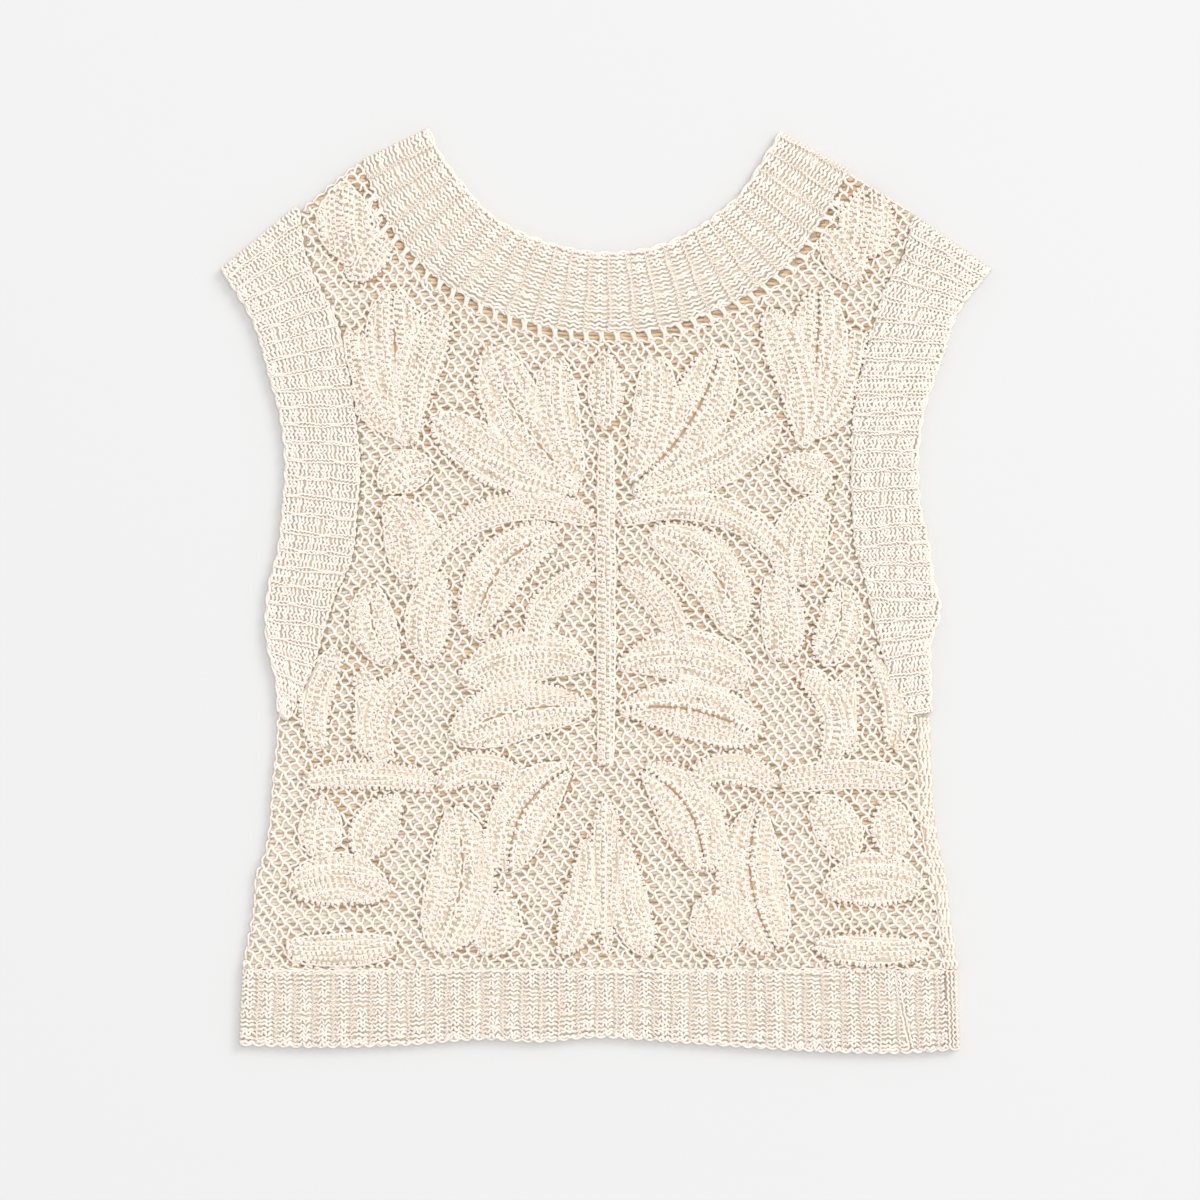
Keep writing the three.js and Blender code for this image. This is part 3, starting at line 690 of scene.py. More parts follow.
def hem_front(xy):
    """Where the front hem's rows run: left of the groove, and clear of its seam."""
    x, y = xy[:, 0], xy[:, 1]
    return (x < groove_x(y) - GROOVE_CLEAR) & (np.abs(x - hem_seam_x(y)) > SEAM_CLEAR)


def hem_columns():
    """Zigzag strands up the strip right of the groove."""
    y = np.arange(COLUMN_FOOT, HEM_TOP, COLUMN_STEP)
    turn = (-1.0) ** np.arange(len(y))
    found = []
    for aside in COLUMNS:
        x = groove_x(y) + aside + COLUMN_TURN * turn + rng.normal(0, 0.12, len(y))
        z = COLUMN_LEVEL + COLUMN_LIFT * turn + rng.normal(0, 0.1, len(y))
        found.append(np.column_stack([x, y, z]))
    return found


def hem_seam_cords():
    """Two cords beside the front hem's seam."""
    y = np.arange(SEAM_CORD_FOOT, HEM_TOP - 1.0, SEAM_CORD_STEP)
    found = []
    for gap in SEAM_CORDS:
        sway = 0.3 * np.sin(y * 2.2 + gap) + rng.normal(0, 0.18, len(y))
        found.append(np.column_stack([hem_seam_x(y) + gap + sway, y, np.full(len(y), SEAM_CORD_LEVEL)]))
    return found


print("the groove leans", round(GROOVE_LOW_X - GROOVE_TOP_X, 1), "mm")

# %% [markdown]
# ## Making the bands
# All four bands are hooked in the same way and differ in a few measures, judged against the photograph:
# the armbands' rows are closer and their cords double, and the hem's edge scallops deeper. So one table
# holds the measures, and two functions make the back half and the front half of any band. The backs are
# taken as plainer than the fronts, with coarser rows.

# %% Halves of a band
BAND_WALL = 2.4
RIB_RELIEF = 0.9
BAND_YARN = 0.95
BACK_BAND_YARN = 1.1
EDGE_YARN = 0.85
CORD_YARN = 0.7
BACK_PITCH = 3.2
BACK_EDGE_INSET, FRONT_EDGE_INSET, SEAM_EDGE_INSET = 0.9, 1.2, 0.2
WRAP_LOW, WRAP_HIGH, WRAP_INSET = 1.3, FRONT_INNER + 1.0, 1.5
HEM_END_GAP = 1.5
SEAM_EDGE_END = 2.0
hem_corner = float(np.interp(GROOVE_TOP_X + 0.5, hem_band.edge[:, 0], hem_band.u))


def back_half(name, band, ribbing):
    """A band's back half; the hem's has the strip that comes round to the front as well."""
    plain = ribbing._replace(row_pitch=BACK_PITCH, lean=0.0)
    rows = ribbed_rows(band, plain, crown=BACK_WALL, rib=0.0, yarn=BACK_BAND_YARN, every=2.0)
    share = 1 - BACK_EDGE_INSET / band.width
    outer = edge_strand(band, share, level=1.6, scallop=0.5, pitch=ribbing.rib_pitch)
    yarn_parts = [(tube_arrays(*rows), back_cotton), (tube_arrays([outer], BAND_YARN), back_cotton)]
    slab = strip_slab(band, 0.0, BACKING)
    if band is hem_band:
        yarn_parts.append((tube_arrays(hem_columns(), EDGE_YARN), band_cotton))
        slab = joined([slab, strip_slab(band, WRAP_LOW, WRAP_HIGH, WRAP_INSET, start=hem_corner)])
    return band_piece(name + "_back", yarn_parts, slab)


def front_half(name, band, ribbing):
    """A band's front half, with its ribs, cords and edges. The hem's stops short of the groove."""
    keep = hem_front if band is hem_band else None
    stop = hem_corner - HEM_END_GAP if band is hem_band else None
    crown = FRONT_INNER + BAND_WALL
    rows = ribbed_rows(band, ribbing, crown, RIB_RELIEF, BAND_YARN, keep=keep)
    share = 1 - FRONT_EDGE_INSET / band.width
    outer = edge_strand(band, share, level=4.7, scallop=ribbing.scallop, pitch=ribbing.scallop_pitch)
    share = SEAM_EDGE_INSET / band.width
    end = band.length - SEAM_EDGE_END
    inner = edge_strand(band, share, level=4.1, scallop=1.0, pitch=5.0, start=SEAM_EDGE_END, stop=end)
    cords = rib_cords(band, ribbing)
    parts = [tube_arrays(*rows), tube_arrays([outer, inner], EDGE_YARN), tube_arrays(cords, CORD_YARN)]
    if band is hem_band:
        parts.append(tube_arrays(hem_seam_cords(), EDGE_YARN))
    slab = strip_slab(band, FRONT_INNER, FRONT_INNER + BACKING, stop=stop)
    return band_piece(name + "_front", [(part, band_cotton) for part in parts], slab)


print("the wrapped strip starts", round(hem_corner), "mm along the hem")

# %% Make the bands
ARM_TWINS = (-0.75, 0.75)
BANDS = {
    # row pitch, rib pitch, ripple, hook, lean, cord sway, cord twins, scallop depth, scallop pitch
    "neckband": (neckband, Ribbing(2.35, 12.6, 0.26, 0.5, 0.3, 0.75, (0.0,), 1.2, 12.6)),
    "armband_left": (armband_left, Ribbing(2.25, 10.6, 0.32, 0.3, 1.6, 0.35, ARM_TWINS, 1.2, 10.6)),
    "armband_right": (armband_right, Ribbing(2.25, 10.6, 0.32, 0.3, -1.6, 0.35, ARM_TWINS, 1.2, 10.6)),
    "hem_band": (hem_band, Ribbing(2.5, 10.9, 0.42, 0.6, 0.7, 0.85, (0.0,), 1.7, 7.0)),
}
for name, (band, ribbing) in BANDS.items():
    back = back_half(name, band, ribbing)
    front_half(name, band, ribbing)
print(2 * len(BANDS), "half bands")

# %% [markdown]
# ## Leaves, buds and arches
# On the real top raised shapes are hooked first and then joined by net. They could be drawn as closed
# outlines with many points each, but a leaf is simple: a bowed stroke with a start, an end, a sideways
# bow and a half-width that swells along it. The table is the construction model's, and every paired shape
# has a mirror image. The last column says whether a slit of small eyelets runs along its middle.

# %% Motif table
PAIRED = [
    # x0, y0, x1, y1, bow, half-width, swell, blunt, slit
    (150, 234, 146, 192, 2, 16, 1.2, 0.50, 0),
    (126, 206, 144, 178, 2, 12, 1.0, 0.50, 0),
    (112, 86, 92, 160, -7, 13, 1.3, 0.42, 0),
    (112, 84, 122, 172, -3, 17, 1.4, 0.42, 1),
    (116, 88, 145, 150, -8, 12, 1.3, 0.45, 0),
    (14, 66, 28, 134, -6, 12, 1.4, 0.42, 0),
    (16, 62, 66, 140, -8, 17, 1.4, 0.42, 1),
    (16, 58, 98, 100, -6, 15, 1.4, 0.42, 0),
    (100, 70, 128, 58, 5, 12, 1.0, 0.50, 0),
    (8, 42, 104, 18, 18, 8, 1.0, 0.18, 0),
    (26, 34, 74, -26, 14, 16, 1.1, 0.40, 1),
    (8, 12, 42, -34, 9, 9, 1.0, 0.25, 0),
    (126, 52, 112, 4, -8, 16, 1.2, 0.42, 0),
    (94, 10, 100, -40, 5, 13, 1.2, 0.45, 0),
    (134, 4, 122, -40, 6, 13, 1.1, 0.45, 1),
    (9, -42, 82, -52, 10, 15, 1.2, 0.42, 0),
    (9, -68, 88, -84, 8, 17, 1.3, 0.42, 1),
    (112, -48, 126, -98, 13, 9, 1.0, 0.25, 0),
    (142, -46, 142, -92, -6, 9, 1.0, 0.40, 0),
    (153, -34, 164, -90, 8, 9, 1.0, 0.30, 0),
    (100, -110, 172, -108, 4, 8, 1.0, 0.18, 0),
    (50, -108, 96, -112, 9, 9, 1.0, 0.22, 0),
    (118, -120, 138, -154, 5, 13, 1.1, 0.45, 0),
    (160, -120, 164, -152, 2, 12, 1.1, 0.45, 0),
    (22, -102, 56, -160, 10, 18, 1.2, 0.42, 1),
    (88, -124, 98, -206, -10, 20, 1.2, 0.42, 1),
    (12, -142, 26, -208, -7, 12, 1.2, 0.45, 0),
    (54, -176, 62, -208, 5, 15, 1.1, 0.45, 0),
    (126, -174, 180, -172, 8, 15, 1.1, 0.42, 0),
    (120, -203, 184, -205, -2, 9, 1.0, 0.30, 0),
]
CENTRE = [
    (0, 94, 0, 138, 0, 10, 1.0, 0.60, 0),
    (0, -100, 0, 86, 0, 5, 1.0, 0.10, 0),
    (0, -208, 0, -116, 0, 9, 1.3, 0.50, 0),
]
print(len(PAIRED), "pairs and", len(CENTRE), "on the centre line")

# %% Strokes
STROKE_POINTS = 60
NARROW_ENDS = (0.012, 0.988)
TIP = 0.6


class Stroke:
    """The middle line of a shape, its half-width at each point, and its normals."""

    def __init__(self, row, mirror=1):
        x0, y0, x1, y1, bow, half, swell, blunt, slit = row
        length = math.hypot(x1 - x0, y1 - y0)
        bend_x = (x0 + x1) / 2 - 2 * bow * (y1 - y0) / length
        bend_y = (y0 + y1) / 2 + 2 * bow * (x1 - x0) / length
        t = np.linspace(0, 1, STROKE_POINTS)[:, None]
        bent = 2 * t * (1 - t) * np.array([bend_x, bend_y])
        self.line = (1 - t) ** 2 * np.array([x0, y0]) + bent + t**2 * np.array([x1, y1])
        self.line[:, 0] *= mirror
        ahead = np.gradient(self.line, axis=0)
        self.ahead = ahead / np.linalg.norm(ahead, axis=1)[:, None]
        self.normal = np.stack([-self.ahead[:, 1], self.ahead[:, 0]], axis=1)
        self.half = half * np.sin(math.pi * np.clip(t[:, 0] ** swell, *NARROW_ENDS)) ** blunt
        self.t = t[:, 0]
        self.slit = bool(slit)
        steps = np.linalg.norm(np.diff(self.line, axis=0), axis=1)
        arc = np.concatenate([[0], np.cumsum(steps)])
        # The half-width, cut short at the ends, so that circles of it don't pass the shape's tips.
        self.reach = np.minimum(self.half, np.minimum(arc, arc[-1] - arc) + TIP)

    def offset(self, distance):
        """The line moved sideways by a distance for each point."""
        return self.line + self.normal * np.asarray(distance)[:, None]


strokes = [Stroke(row) for row in CENTRE]
for row in PAIRED:
    strokes += [Stroke(row, 1), Stroke(row, -1)]
print(len(strokes), "raised shapes")

# %% [markdown]
# ## A map of the shapes
# The net of the real top starts where a shape ends, and no stitch lies in two shapes. Exact tests of
# every point against every outline would be slow. So a map on a 1 mm grid holds, at each place, the
# distance to the nearest shape's outline, negative inside it. Net and stitches just look up their own
# places in it.

# %% Distance map
GRID = 1.0
FAR = 60.0
MAP_REACH = 12.0
grid_x = np.arange(-230, 231, GRID)
grid_y = np.arange(-275, 276, GRID)


def sample(field, xy):
    """The map's value at places xy, between grid points."""
    fx = np.clip((xy[:, 0] - grid_x[0]) / GRID, 0, len(grid_x) - 1.001)
    fy = np.clip((xy[:, 1] - grid_y[0]) / GRID, 0, len(grid_y) - 1.001)
    i, j = fx.astype(int), fy.astype(int)
    a, b = fx - i, fy - j
    return (
        field[j, i] * (1 - a) * (1 - b) + field[j, i + 1] * a * (1 - b)
        + field[j + 1, i] * (1 - a) * b + field[j + 1, i + 1] * a * b
    )


def lower_field(field, stroke):
    """Takes the stroke's distance into the map, in a window round the stroke."""
    near = stroke.half.max() + MAP_REACH
    low, high = stroke.line.min(axis=0) - near, stroke.line.max(axis=0) + near
    i = np.flatnonzero((grid_x >= low[0]) & (grid_x <= high[0]))
    j = np.flatnonzero((grid_y >= low[1]) & (grid_y <= high[1]))
    xx, yy = np.meshgrid(grid_x[i], grid_y[j])
    gap = np.full(xx.shape, FAR)
    for (x, y), half_width in zip(stroke.line[::2], stroke.reach[::2]):
        gap = np.minimum(gap, np.hypot(xx - x, yy - y) - half_width)
    window = np.ix_(j, i)
    field[window] = np.minimum(field[window], gap)


# Each shape keeps the map from before it, and leaves out stitches where an earlier shape lies.
shapes_before = []
shape_map = np.full((len(grid_y), len(grid_x)), FAR)
for stroke in strokes:
    shapes_before.append(shape_map.copy())
    lower_field(shape_map, stroke)
print("share of the map inside a shape:", round(float((shape_map < 0).mean()), 3))

# %% [markdown]
# ## The outline of the panels
# The front and back panels end at the bands' seams and at the body's sides. On the right the back is
# wrapped round to the front as a narrow strip, beside a groove. The panels could have tables of their
# own, but then they would have to be kept in step with the bands. Here their outlines are put together
# from the bands' seams and one table of the sides.

# %% Panel outline
BODY_SIDES = np.array([
    # left side x, left y, groove x, right side x, right y
    (-188.0, -70.6, 178.6, 186.2, -72.4), (-188.5, -85, 179.2, 186.4, -85),
    (-190.9, -108, 179.0, 187.0, -105), (-192.6, -132, 178.2, 187.4, -121),
    (-195.0, -149, 182.3, 190.5, -142), (-201.0, -165, 185.7, 195.0, -165),
    (-202.4, -186, 190.3, 197.5, -184), (-207.0, -209, 193.8, 200.8, -209),
    (-208.2, -216.7, 194.6, 201.6, -216.7),
])
EVERY = 8
left_side = BODY_SIDES[:, :2]
groove = BODY_SIDES[:, [2, 4]]
right_side = BODY_SIDES[:, 3:]


def outline_with(right):
    """The panel's outline with the given right edge."""
    top = [neckband.seam[::EVERY], armband_right.seam[::EVERY]]
    return np.concatenate([*top, right, left_side[::-1], armband_left.seam[::-EVERY]])


def inside(outline, xy):
    """Whether each place lies inside an outline."""
    a, b = outline, np.roll(outline, -1, axis=0)
    x, y = xy[:, 0:1], xy[:, 1:2]
    crosses = (a[:, 1] > y) != (b[:, 1] > y)
    with np.errstate(divide="ignore", invalid="ignore"):
        at = a[:, 0] + (y - a[:, 1]) * (b[:, 0] - a[:, 0]) / (b[:, 1] - a[:, 1])
    return (crosses & (x < at)).sum(axis=1) % 2 == 1


def area_of(outline):
    """Area inside an outline, in square metres."""
    x, y = outline[:, 0], outline[:, 1]
    return abs(float(np.sum(x * np.roll(y, -1) - y * np.roll(x, -1)))) / 2 * MM * MM


front_outline = outline_with(groove)
back_outline = outline_with(right_side)
print("front panel area", round(area_of(front_outline), 4), "m2")

# %% [markdown]
# ## Net ground
# Between the shapes the real top is an open net with cells about 7 mm wide. A sheet with holes cut in it
# would look punched, so the net is two families of slanted strands. Those that fall to the right are a
# little thicker and lie over those that rise to the right. Both sway, rise and fall once a cell, as hooked
# yarn does, and both stop at the shapes.

# %% Net strands
CELL = 7.0
FALL = math.radians(-50)
RISE = math.radians(46)
NET_STEP = 1.4
NET_REACH = 360
HALF_WIDE, HALF_HIGH = 225, 270
LONG_SWAY, LONG_WAVE, LONG_SHIFT = 0.5, 23, 0.7
NET_LIFT = 0.3
CLEAR = -0.8
EYELET_DEPTH = 5.6
EYELET_REACH = 128.0
neck_seam_line = neckband.seam[::6]


def below_neck(xy):
    """Distance to the neckband's seam."""
    return np.min(np.hypot(xy[:, 0:1] - neck_seam_line[:, 0], xy[:, 1:2] - neck_seam_line[:, 1]), axis=1)


def in_eyelet_row(xy):
    """Whether each place lies in the row of eyelets under the neckband."""
    return (below_neck(xy) < EYELET_DEPTH) & (np.abs(xy[:, 0]) < EYELET_REACH)


def open_ground(xy):
    """Where the front's net shows: in the front, clear of the shapes and of the eyelet row."""
    return inside(front_outline, xy) & (sample(shape_map, xy) > CLEAR) & ~in_eyelet_row(xy)


def slanted(angle, level, sway):
    """Strands at one slant across the open ground."""
    ahead = np.array([math.cos(angle), math.sin(angle)])
    across = np.array([-ahead[1], ahead[0]])
    spacing = CELL * abs(math.sin(angle))
    along = np.arange(-NET_REACH, NET_REACH, NET_STEP)
    found = []
    for k in range(int(-NET_REACH / spacing), int(NET_REACH / spacing)):
        bend = sway * np.sin(2 * math.pi * along / CELL + any_phase())
        bend = bend + LONG_SWAY * np.sin(along / LONG_WAVE + k * LONG_SHIFT)
        xy = ahead * along[:, None] + across * (k * spacing + bend)[:, None]
        near = (np.abs(xy[:, 0]) < HALF_WIDE) & (np.abs(xy[:, 1]) < HALF_HIGH)
        xy, arc = xy[near], along[near]
        z = level + NET_LIFT * np.sin(2 * math.pi * arc / CELL + k * math.pi)
        found += runs(np.column_stack([xy, z]), open_ground(xy))
    return found


falling = slanted(FALL, level=4.4, sway=0.5)
rising = slanted(RISE, level=4.25, sway=0.8)
print(len(falling) + len(rising), "net strands")

# %% [markdown]
# ## Eyelets under the neckband
# Under the neckband of the real top runs a row of wider holes, one between each pair of slanted posts.
# The construction model cuts them as holes. Yarn can't be cut, so here the holes are what is left between
# posts: two strands for each post, from the band's seam down to a wavy strand that closes the row.

# %% Posts
NECK_EYELETS = 36
EYELET_MARGIN = 0.06
POST_RISE = 0.6
POST_SLANT = (1.0, 2.4)
POST_TWINS = (-0.8, 0.8)
POST_ROUGHNESS = 0.15
POST_SHARES = np.array([0, 0.33, 0.66, 1])[:, None]
POST_SPREAD = np.array([1.4, 0.5, 0.6, 2.4])[:, None]
POST_LEVELS = [5.1, 5.1, 4.9, 4.6]
seam_steps = np.linalg.norm(np.diff(neckband.seam, axis=0), axis=1)
seam_arc = np.concatenate([[0], np.cumsum(seam_steps)]) / seam_steps.sum()


def under_seam(shares, drop):
    """Places below the neckband's seam at shares of its length, and the direction down from it."""
    place = np.stack([np.interp(shares, seam_arc, neckband.seam[:, k]) for k in (0, 1)], axis=1)
    ahead = np.gradient(place, axis=0)
    ahead /= np.linalg.norm(ahead, axis=1)[:, None]
    down = np.stack([ahead[:, 1], -ahead[:, 0]], axis=1)
    return place + down * np.asarray(drop)[..., None], down


post_at = EYELET_MARGIN + (1 - 2 * EYELET_MARGIN) * np.arange(NECK_EYELETS + 1) / NECK_EYELETS
tops, inward = under_seam(post_at, 0 * post_at)
posts = []
for top, down in zip(tops, inward):
    aside = np.array([-down[1], down[0]])
    foot = top + down * (EYELET_DEPTH + POST_RISE) + aside * rng.uniform(*POST_SLANT)
    for twin in POST_TWINS:
        line = top - down * POST_RISE + (foot - top + down * POST_RISE) * POST_SHARES
        line += aside * (twin + rng.normal(0, POST_ROUGHNESS)) * POST_SPREAD
        posts.append(np.column_stack([line, POST_LEVELS]))
print(len(posts), "post strands")

# %% The strand under the posts
UNDER_LEVEL, UNDER_LIFT, UNDER_BEAT = 4.6, 0.2, 260
UNDER_WAVE = 0.9
UNDER_FROM, UNDER_TO, UNDER_POINTS = 0.05, 0.95, 240
fine = np.linspace(UNDER_FROM, UNDER_TO, UNDER_POINTS)
eyelet_wave = np.cos(2 * math.pi * (fine - EYELET_MARGIN) / (1 - 2 * EYELET_MARGIN) * NECK_EYELETS)
under, _ = under_seam(fine, EYELET_DEPTH + UNDER_WAVE * eyelet_wave)
under_level = UNDER_LEVEL + UNDER_LIFT * np.sin(fine * UNDER_BEAT)
under_strands = runs(np.column_stack([under, under_level]), inside(front_outline, under))
print(sum(len(strand) for strand in under_strands), "points under the posts")

# %% [markdown]
# ## Raised stitches
# A shape is filled with rows of stitches that follow its outline. Displacing a smooth leaf with a stitch
# pattern is the usual way, but a displaced surface has no undersides and its stitches look stamped. Here
# each row is one strand that loops round on itself once a stitch, as the top of a row of crochet does,
# and each row laps over its neighbours.

# %% Rows of a shape
STITCH = 3.3
ROUND = 2.8
LOOP_POINTS = 5
SLIT = 1.3
SLIT_FROM, SLIT_TO = 0.2, 0.8
SLIT_BEAT = 62
RIM, RIM_THINNEST = 0.9, 1.2
ROW_CLEAR = 2.0
WOBBLE, WOBBLE_BEAT, WOBBLE_CLEAR = 0.35, 22, 2.5
OVERLAP = -1.4


def resampled(line, step):
    """A line with points at equal steps."""
    gaps = np.linalg.norm(np.diff(line, axis=0), axis=1)
    at = np.concatenate([[0], np.cumsum(gaps)])
    even = np.linspace(0, at[-1], max(3, int(at[-1] / step) + 1))
    return np.column_stack([np.interp(even, at, line[:, k]) for k in range(line.shape[1])])


def row_distances(stroke):
    """How far each row of a shape's half lies from its middle, and where the row runs."""
    in_slit = stroke.slit & (stroke.t > SLIT_FROM) & (stroke.t < SLIT_TO)
    # The rows beside a slit spread and close in turn, which leaves small eyelets between the two halves.
    spread = SLIT * in_slit * (0.5 + 0.5 * np.sin(stroke.t * SLIT_BEAT))
    rows = [(stroke.half - RIM, stroke.half > RIM_THINNEST)]
    for level in range(int(stroke.half.max() / ROUND) + 1):
        distance = ROUND * (level + 0.5) + spread
        rows.append((distance, distance < stroke.half - ROW_CLEAR))
    return rows


def rows_of(stroke, before):
    """A shape's rows as stretches of x, y, forward direction and height share."""
    found = []
    for side in (-1, 1):
        for distance, wanted in row_distances(stroke):
            share = np.clip(1 - distance / np.maximum(stroke.half, 1), 0, 1)
            wobble = WOBBLE * np.sin(stroke.t * WOBBLE_BEAT + any_phase())
            wobble = wobble * (distance < stroke.half - WOBBLE_CLEAR)
            packed = np.column_stack([stroke.offset(side * (distance + wobble)), stroke.ahead, share])
            for stretch in runs(packed, wanted):
                even = resampled(stretch, STITCH / LOOP_POINTS)
                xy = even[:, :2]
                free = (sample(before, xy) > OVERLAP) & inside(front_outline, xy) & ~in_eyelet_row(xy)
                found += runs(even, free, LOOP_POINTS)
    return found


shape_rows = [rows_of(stroke, before) for stroke, before in zip(strokes, shapes_before)]
print(sum(len(row) for found in shape_rows for row in found) // LOOP_POINTS, "raised stitches")

# %% [markdown]
# The loop itself is a circle drawn while its centre moves on along the row. A plain circle would repeat like
# a spring, so its phase drifts, its size changes a little from point to point, and it turns left or right at
# random. Toward the middle of a shape the loops lie higher, which gives the shape its crown.

# %% Looped strands
LOOP_AHEAD = 1.4
LOOP_ASIDE = 1.25
LOOP_LIFT = 0.45
LOOP_DRIFT = (1.3, 6.0)
SIZE_DRIFT = (0.2, 9.0)
LOOP_ROUGHNESS = 0.2
SHAPE_RISE, SHAPE_ROUND = 0.8, 0.6


def looped(stretch):
    """A strand that loops once every stitch along a stretch of a row."""
    count = len(stretch)
    phi = 2 * math.pi * np.arange(count) / LOOP_POINTS + any_phase()
    phi += wander(np.arange(count), LOOP_DRIFT)
    size = 1 + wander(np.arange(count), SIZE_DRIFT) + rng.normal(0, LOOP_ROUGHNESS, count)
    ahead = stretch[:, 2:4]
    aside = rng.choice([-1, 1]) * np.stack([-ahead[:, 1], ahead[:, 0]], axis=1)
    back_step = (LOOP_AHEAD * size * np.sin(phi))[:, None] * ahead
    xy = stretch[:, :2] - back_step + (LOOP_ASIDE * size * np.cos(phi))[:, None] * aside
    rise = NET_OUTER + SHAPE_RISE * stretch[:, 4] ** SHAPE_ROUND + LOOP_LIFT * np.cos(phi)
    return np.column_stack([xy, rise + rng.normal(0, LOOP_ROUGHNESS, count)])


print("a stitch is", STITCH, "mm long and has", LOOP_POINTS, "points")

# %% [markdown]
# ## Behind the shapes
# A raised shape of the real top is dense and lets nothing through. Like the bands, it gets a thin slab
# behind its stitches, painted in the shade of yarn deep between stitches. A shape with a slit gets one slab
# on each side and one deep strand between them, painted dark with the shade of a hole whose bottom is yarn.
# Each slab lies a few thousandths of a millimetre above the last, so that no two share a plane.

# %% Slabs behind the shapes
SLAB_STEP = 4
SLAB_INSET, SLAB_THINNEST = 1.0, 0.2
SLIT_HALF = 0.6
SLAB_LIFT, SLAB_EACH, SLAB_THICK = 0.3, 0.004, 1.9
SLIT_POINTS = slice(8, 52, 2)
SLIT_LEVEL = NET_OUTER - 1.2
SLIT_YARN = 1.0


def shape_slab(stroke, low, high, side=0):
    """A thin closed slab inside a shape's outline, or on one side of its slit."""
    pick = np.unique(np.append(np.arange(0, len(stroke.line), SLAB_STEP), len(stroke.line) - 1))
    outer = np.maximum(stroke.half - SLAB_INSET, SLAB_THINNEST)
    left, right = stroke.offset(outer), stroke.offset(-outer)
    pick = pick[inside(front_outline, left[pick]) & inside(front_outline, right[pick])]
    if side:
        left = stroke.offset(side * outer)
        right = stroke.offset(side * np.minimum(SLIT_HALF, outer / 2))
    return slab_between(left[pick], right[pick], low, high)


def behind_shape(number, stroke):
    """The parts behind one shape: its slab, or two slabs and the deep strand of its slit."""
    low = FRONT_INNER + SLAB_LIFT + SLAB_EACH * number
    sides = (-1, 1) if stroke.slit else (0,)
    parts = [(shape_slab(stroke, low, low + SLAB_THICK, side), shade_backing_cotton) for side in sides]
    if stroke.slit:
        middle = stroke.line[SLIT_POINTS]
        deep = np.column_stack([middle, np.full(len(middle), SLIT_LEVEL)])
        parts.append((tube_arrays([deep], SLIT_YARN), slit_shade_cotton))
    return parts


behind_shapes = [part for number, stroke in enumerate(strokes) for part in behind_shape(number, stroke)]
print(len(behind_shapes), "parts behind the shapes")

# %% [markdown]
# ## Back panel
# The real back lies under the front and shows through every hole of it. A flat sheet there would show as
# a smooth patch in each hole, so it is a closed layer, painted in the shade of yarn deep between stitches,
# with rows of yarn on top. Where a shape covers it no row is laid, as none could be seen. In the photograph
# the holes beside the shapes and under the neckband are tan with shade and those of the open net are pale,
# so each point of the back's yarn stores how much painted hole shade it takes.

# %% Back rows
BACK_ROW = 2.6
BACK_STEP = 2.4
BACK_FROM = -268
BACK_SPAN = 540
BACK_SIDE = 215
BACK_LEVEL, BACK_LIFT = 1.6, 0.15
STITCH_WAVE, STITCH_SWAY = 9.6, 0.3
SLOW_WAVE, SLOW_SWAY = 17, 0.5
HIDDEN = -3

back_rows = []
for k in range(int(BACK_SPAN / BACK_ROW)):
    x = np.arange(-BACK_SIDE, BACK_SIDE, BACK_STEP)
    stitch_sway = STITCH_SWAY * np.sin(2 * math.pi * x / STITCH_WAVE + k * math.pi)
    y = BACK_FROM + k * BACK_ROW + stitch_sway + SLOW_SWAY * np.sin(x / SLOW_WAVE + k)
    xy = np.column_stack([x, y])
    seen = inside(back_outline, xy) & (sample(shape_map, xy) > HIDDEN)
    z = BACK_LEVEL + BACK_LIFT * np.cos(2 * math.pi * x / (STITCH_WAVE / 2))
    back_rows += runs(np.column_stack([xy, z]), seen)
print(len(back_rows), "back rows")

# %% [markdown]
# The painted hole shade is worked out from the map and from the distance to the neckband. Painting it by
# hand would give the same shade, but a formula follows the shapes when they are moved. Slow waves make it
# patchy, as it is on the real top.

# %% Painted hole shade on the back


def painted_hole_shade_at(xy):
    """How much painted hole shade the back's yarn takes: up to 1 beside shapes, 0.8 under the eyelets, 0
    under open net.
    """
    gap = sample(shape_map, xy)
    # A narrow border of each shape always takes painted shade, and a wider one in patches.
    close = np.clip(1.7 - np.abs(gap - 0.5) / 2.0, 0, 1)
    wide = np.clip(1.8 - np.abs(gap - 1.5) / 2.2, 0, 1)
    patch = np.sin(xy[:, 0] / 9.0 + 2 * np.sin(xy[:, 1] / 14.0)) * np.sin(xy[:, 1] / 11.0)
    patchy = np.clip(0.5 + 0.9 * patch, 0, 1)
    neck = np.clip(1.05 - below_neck(xy) / 12.0, 0, 0.8)
    return np.maximum(np.maximum(close * (0.55 + 0.45 * patchy), 0.75 * wide * patchy), neck)


print("warmth at the neck seam:", round(float(painted_hole_shade_at(neck_seam_line).mean()), 2))

# %% Back layer and its yarn
LAYER = 1.3
BACK_YARN = 1.35

count = len(back_outline)
k = np.arange(count)
lower = np.column_stack([back_outline, np.zeros(count)])
upper = np.column_stack([back_outline, np.full(count, LAYER)])
walls = np.stack([k, (k + 1) % count, (k + 1) % count + count, k + count], axis=1)
lids = [list(k[::-1]), list(k + count)]
layer_mesh = bpy.data.meshes.new("back_panel_layer")
layer_mesh.from_pydata(np.concatenate([lower, upper]) * MM, [], [list(w) for w in walls] + lids)
# The layer is painted in the shade of yarn deep between stitches.
layer_mesh.materials.append(shade_backing_cotton)
back_layer = placed("back_panel_layer", layer_mesh)

back_tubes = tube_arrays(back_rows, BACK_YARN)
back_yarn = new_piece("back_panel_yarn", [(back_tubes, back_cotton)])
# Each point of the back's yarn stores its share of painted hole shade.
warmth = back_yarn.data.attributes.new("painted_hole_shade", "FLOAT", "POINT")
warmth.data.foreach_set("value", painted_hole_shade_at(back_tubes[0][:, :2]).astype(np.float32))
print("the back's outline has", count, "points")

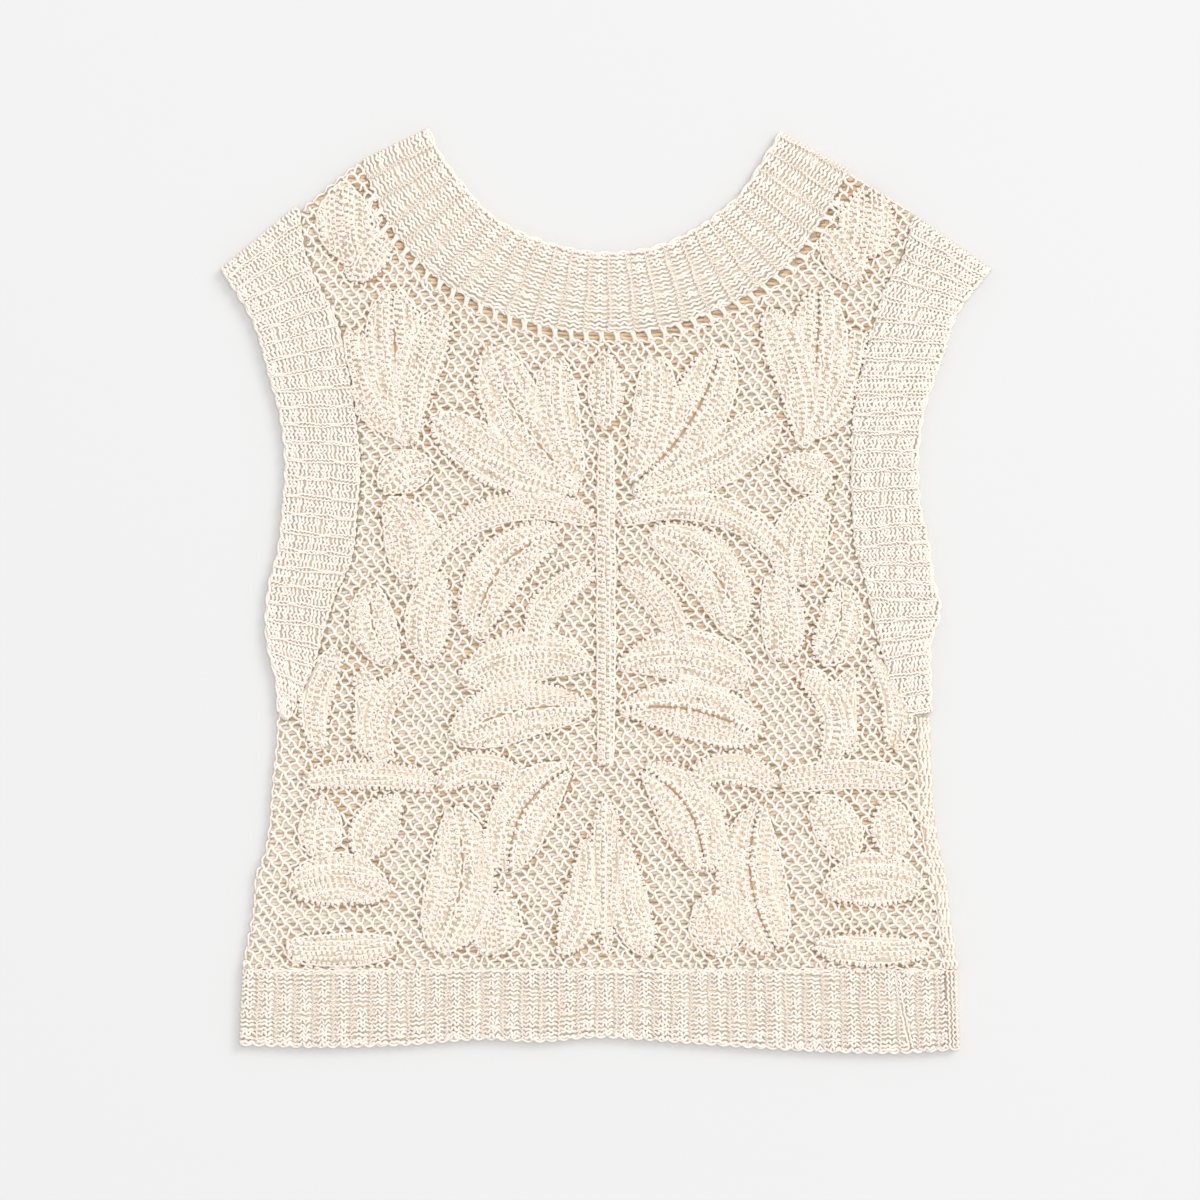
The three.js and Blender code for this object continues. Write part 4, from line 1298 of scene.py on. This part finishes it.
# %% [markdown]
# ## The strip wrapped round the side
# At the right side seam the real back comes 8 mm round to the front, so the groove that looks like a seam
# lies in the front. The strip is as long and narrow as a band, so it is made as one, with closer ribs.

# %% Side strip
STRIP_RIBBING = Ribbing(row_pitch=2.2, rib_pitch=3.4, ripple=0.4, hook=0.7)
STRIP_YARN = 1.05
STRIP_RIB = 0.3
STRIP_LOW = 1.4

strip = Band(np.column_stack([right_side, groove]))
strip_tubes = tube_arrays(*ribbed_rows(strip, STRIP_RIBBING, FRONT_INNER + BAND_WALL, STRIP_RIB, STRIP_YARN))
strip_back = strip_slab(strip, STRIP_LOW, WRAP_HIGH, inset=0.6)
# The strip's slab is painted in the shade of yarn deep between stitches.
back_strip = new_piece("back_side_strip", [(strip_tubes, front_cotton), (strip_back, shade_backing_cotton)])
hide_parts("back_panel")
print("strip", round(strip.length), "x", round(strip.width, 1), "mm")

# %% [markdown]
# ## The front's net as one piece
# Where the real net meets the side seams its last stitches curl into a lumpy edge. That edge is one more
# strand, with a ripple and some noise. It leaves out the bands' seams, which have strands of their own.
# Border, net, posts and the slabs behind the shapes become one mesh, because they are one cut piece.

# %% Front net
BORDER_STEP = 1.6
BORDER_LEVEL = 3.9
BORDER_BEAT, BORDER_ROUGHNESS, BORDER_LUMP = 1.3, 0.4, 0.4
SEAM_REACH = 2
FINE_YARN = 0.75
FALLING_YARN = 1.02
RISING_YARN = 0.9
POST_YARN = 1.1

border = resampled(np.concatenate([front_outline, front_outline[:1]]), BORDER_STEP)
seams = np.concatenate([neckband.seam, armband_left.seam, armband_right.seam])[::6]
from_seam = np.min(np.hypot(border[:, :1] - seams[:, 0], border[:, 1:] - seams[:, 1]), axis=1)
ripple = np.sin(np.arange(len(border)) * BORDER_BEAT) + rng.normal(0, BORDER_ROUGHNESS, len(border))
lumps = ripple[:, None] * np.array([-BORDER_LUMP, 0.5, BORDER_LUMP])
border_line = np.column_stack([border, np.full(len(border), BORDER_LEVEL)]) + lumps
border_strands = runs(border_line, from_seam > SEAM_REACH)
net = [
    (border_strands, FINE_YARN),
    (falling, FALLING_YARN),
    (rising, RISING_YARN),
    (under_strands, FINE_YARN),
    (posts, POST_YARN),
]
net_parts = [(tube_arrays(strands, radius), front_cotton) for strands, radius in net]
front_net = new_piece("front_net", net_parts + behind_shapes)
print(len(border_strands), "border strands")

# %% [markdown]
# ## The raised stitches as three pieces
# All the stitches could be one mesh, but each piece has to stay under 200,000 triangles. They are shared
# out by where their shape lies: left, right or between. They belong to the same cloth as the net, and the
# construction model's front panel is hidden.

# %% Raised stitches
STITCH_YARN = 0.94
GROUP_EDGE = 54

groups = {"centre": [], "left": [], "right": []}
for stroke, found in zip(strokes, shape_rows):
    x = stroke.line[:, 0].mean()
    key = "left" if x < -GROUP_EDGE else "right" if x > GROUP_EDGE else "centre"
    groups[key] += [looped(row) for row in found]
for key, found in groups.items():
    new_piece("raised_stitches_" + key, [(tube_arrays(found, STITCH_YARN), front_cotton)])
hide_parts("front_panel")
print(sum(len(found) for found in groups.values()), "looped strands")
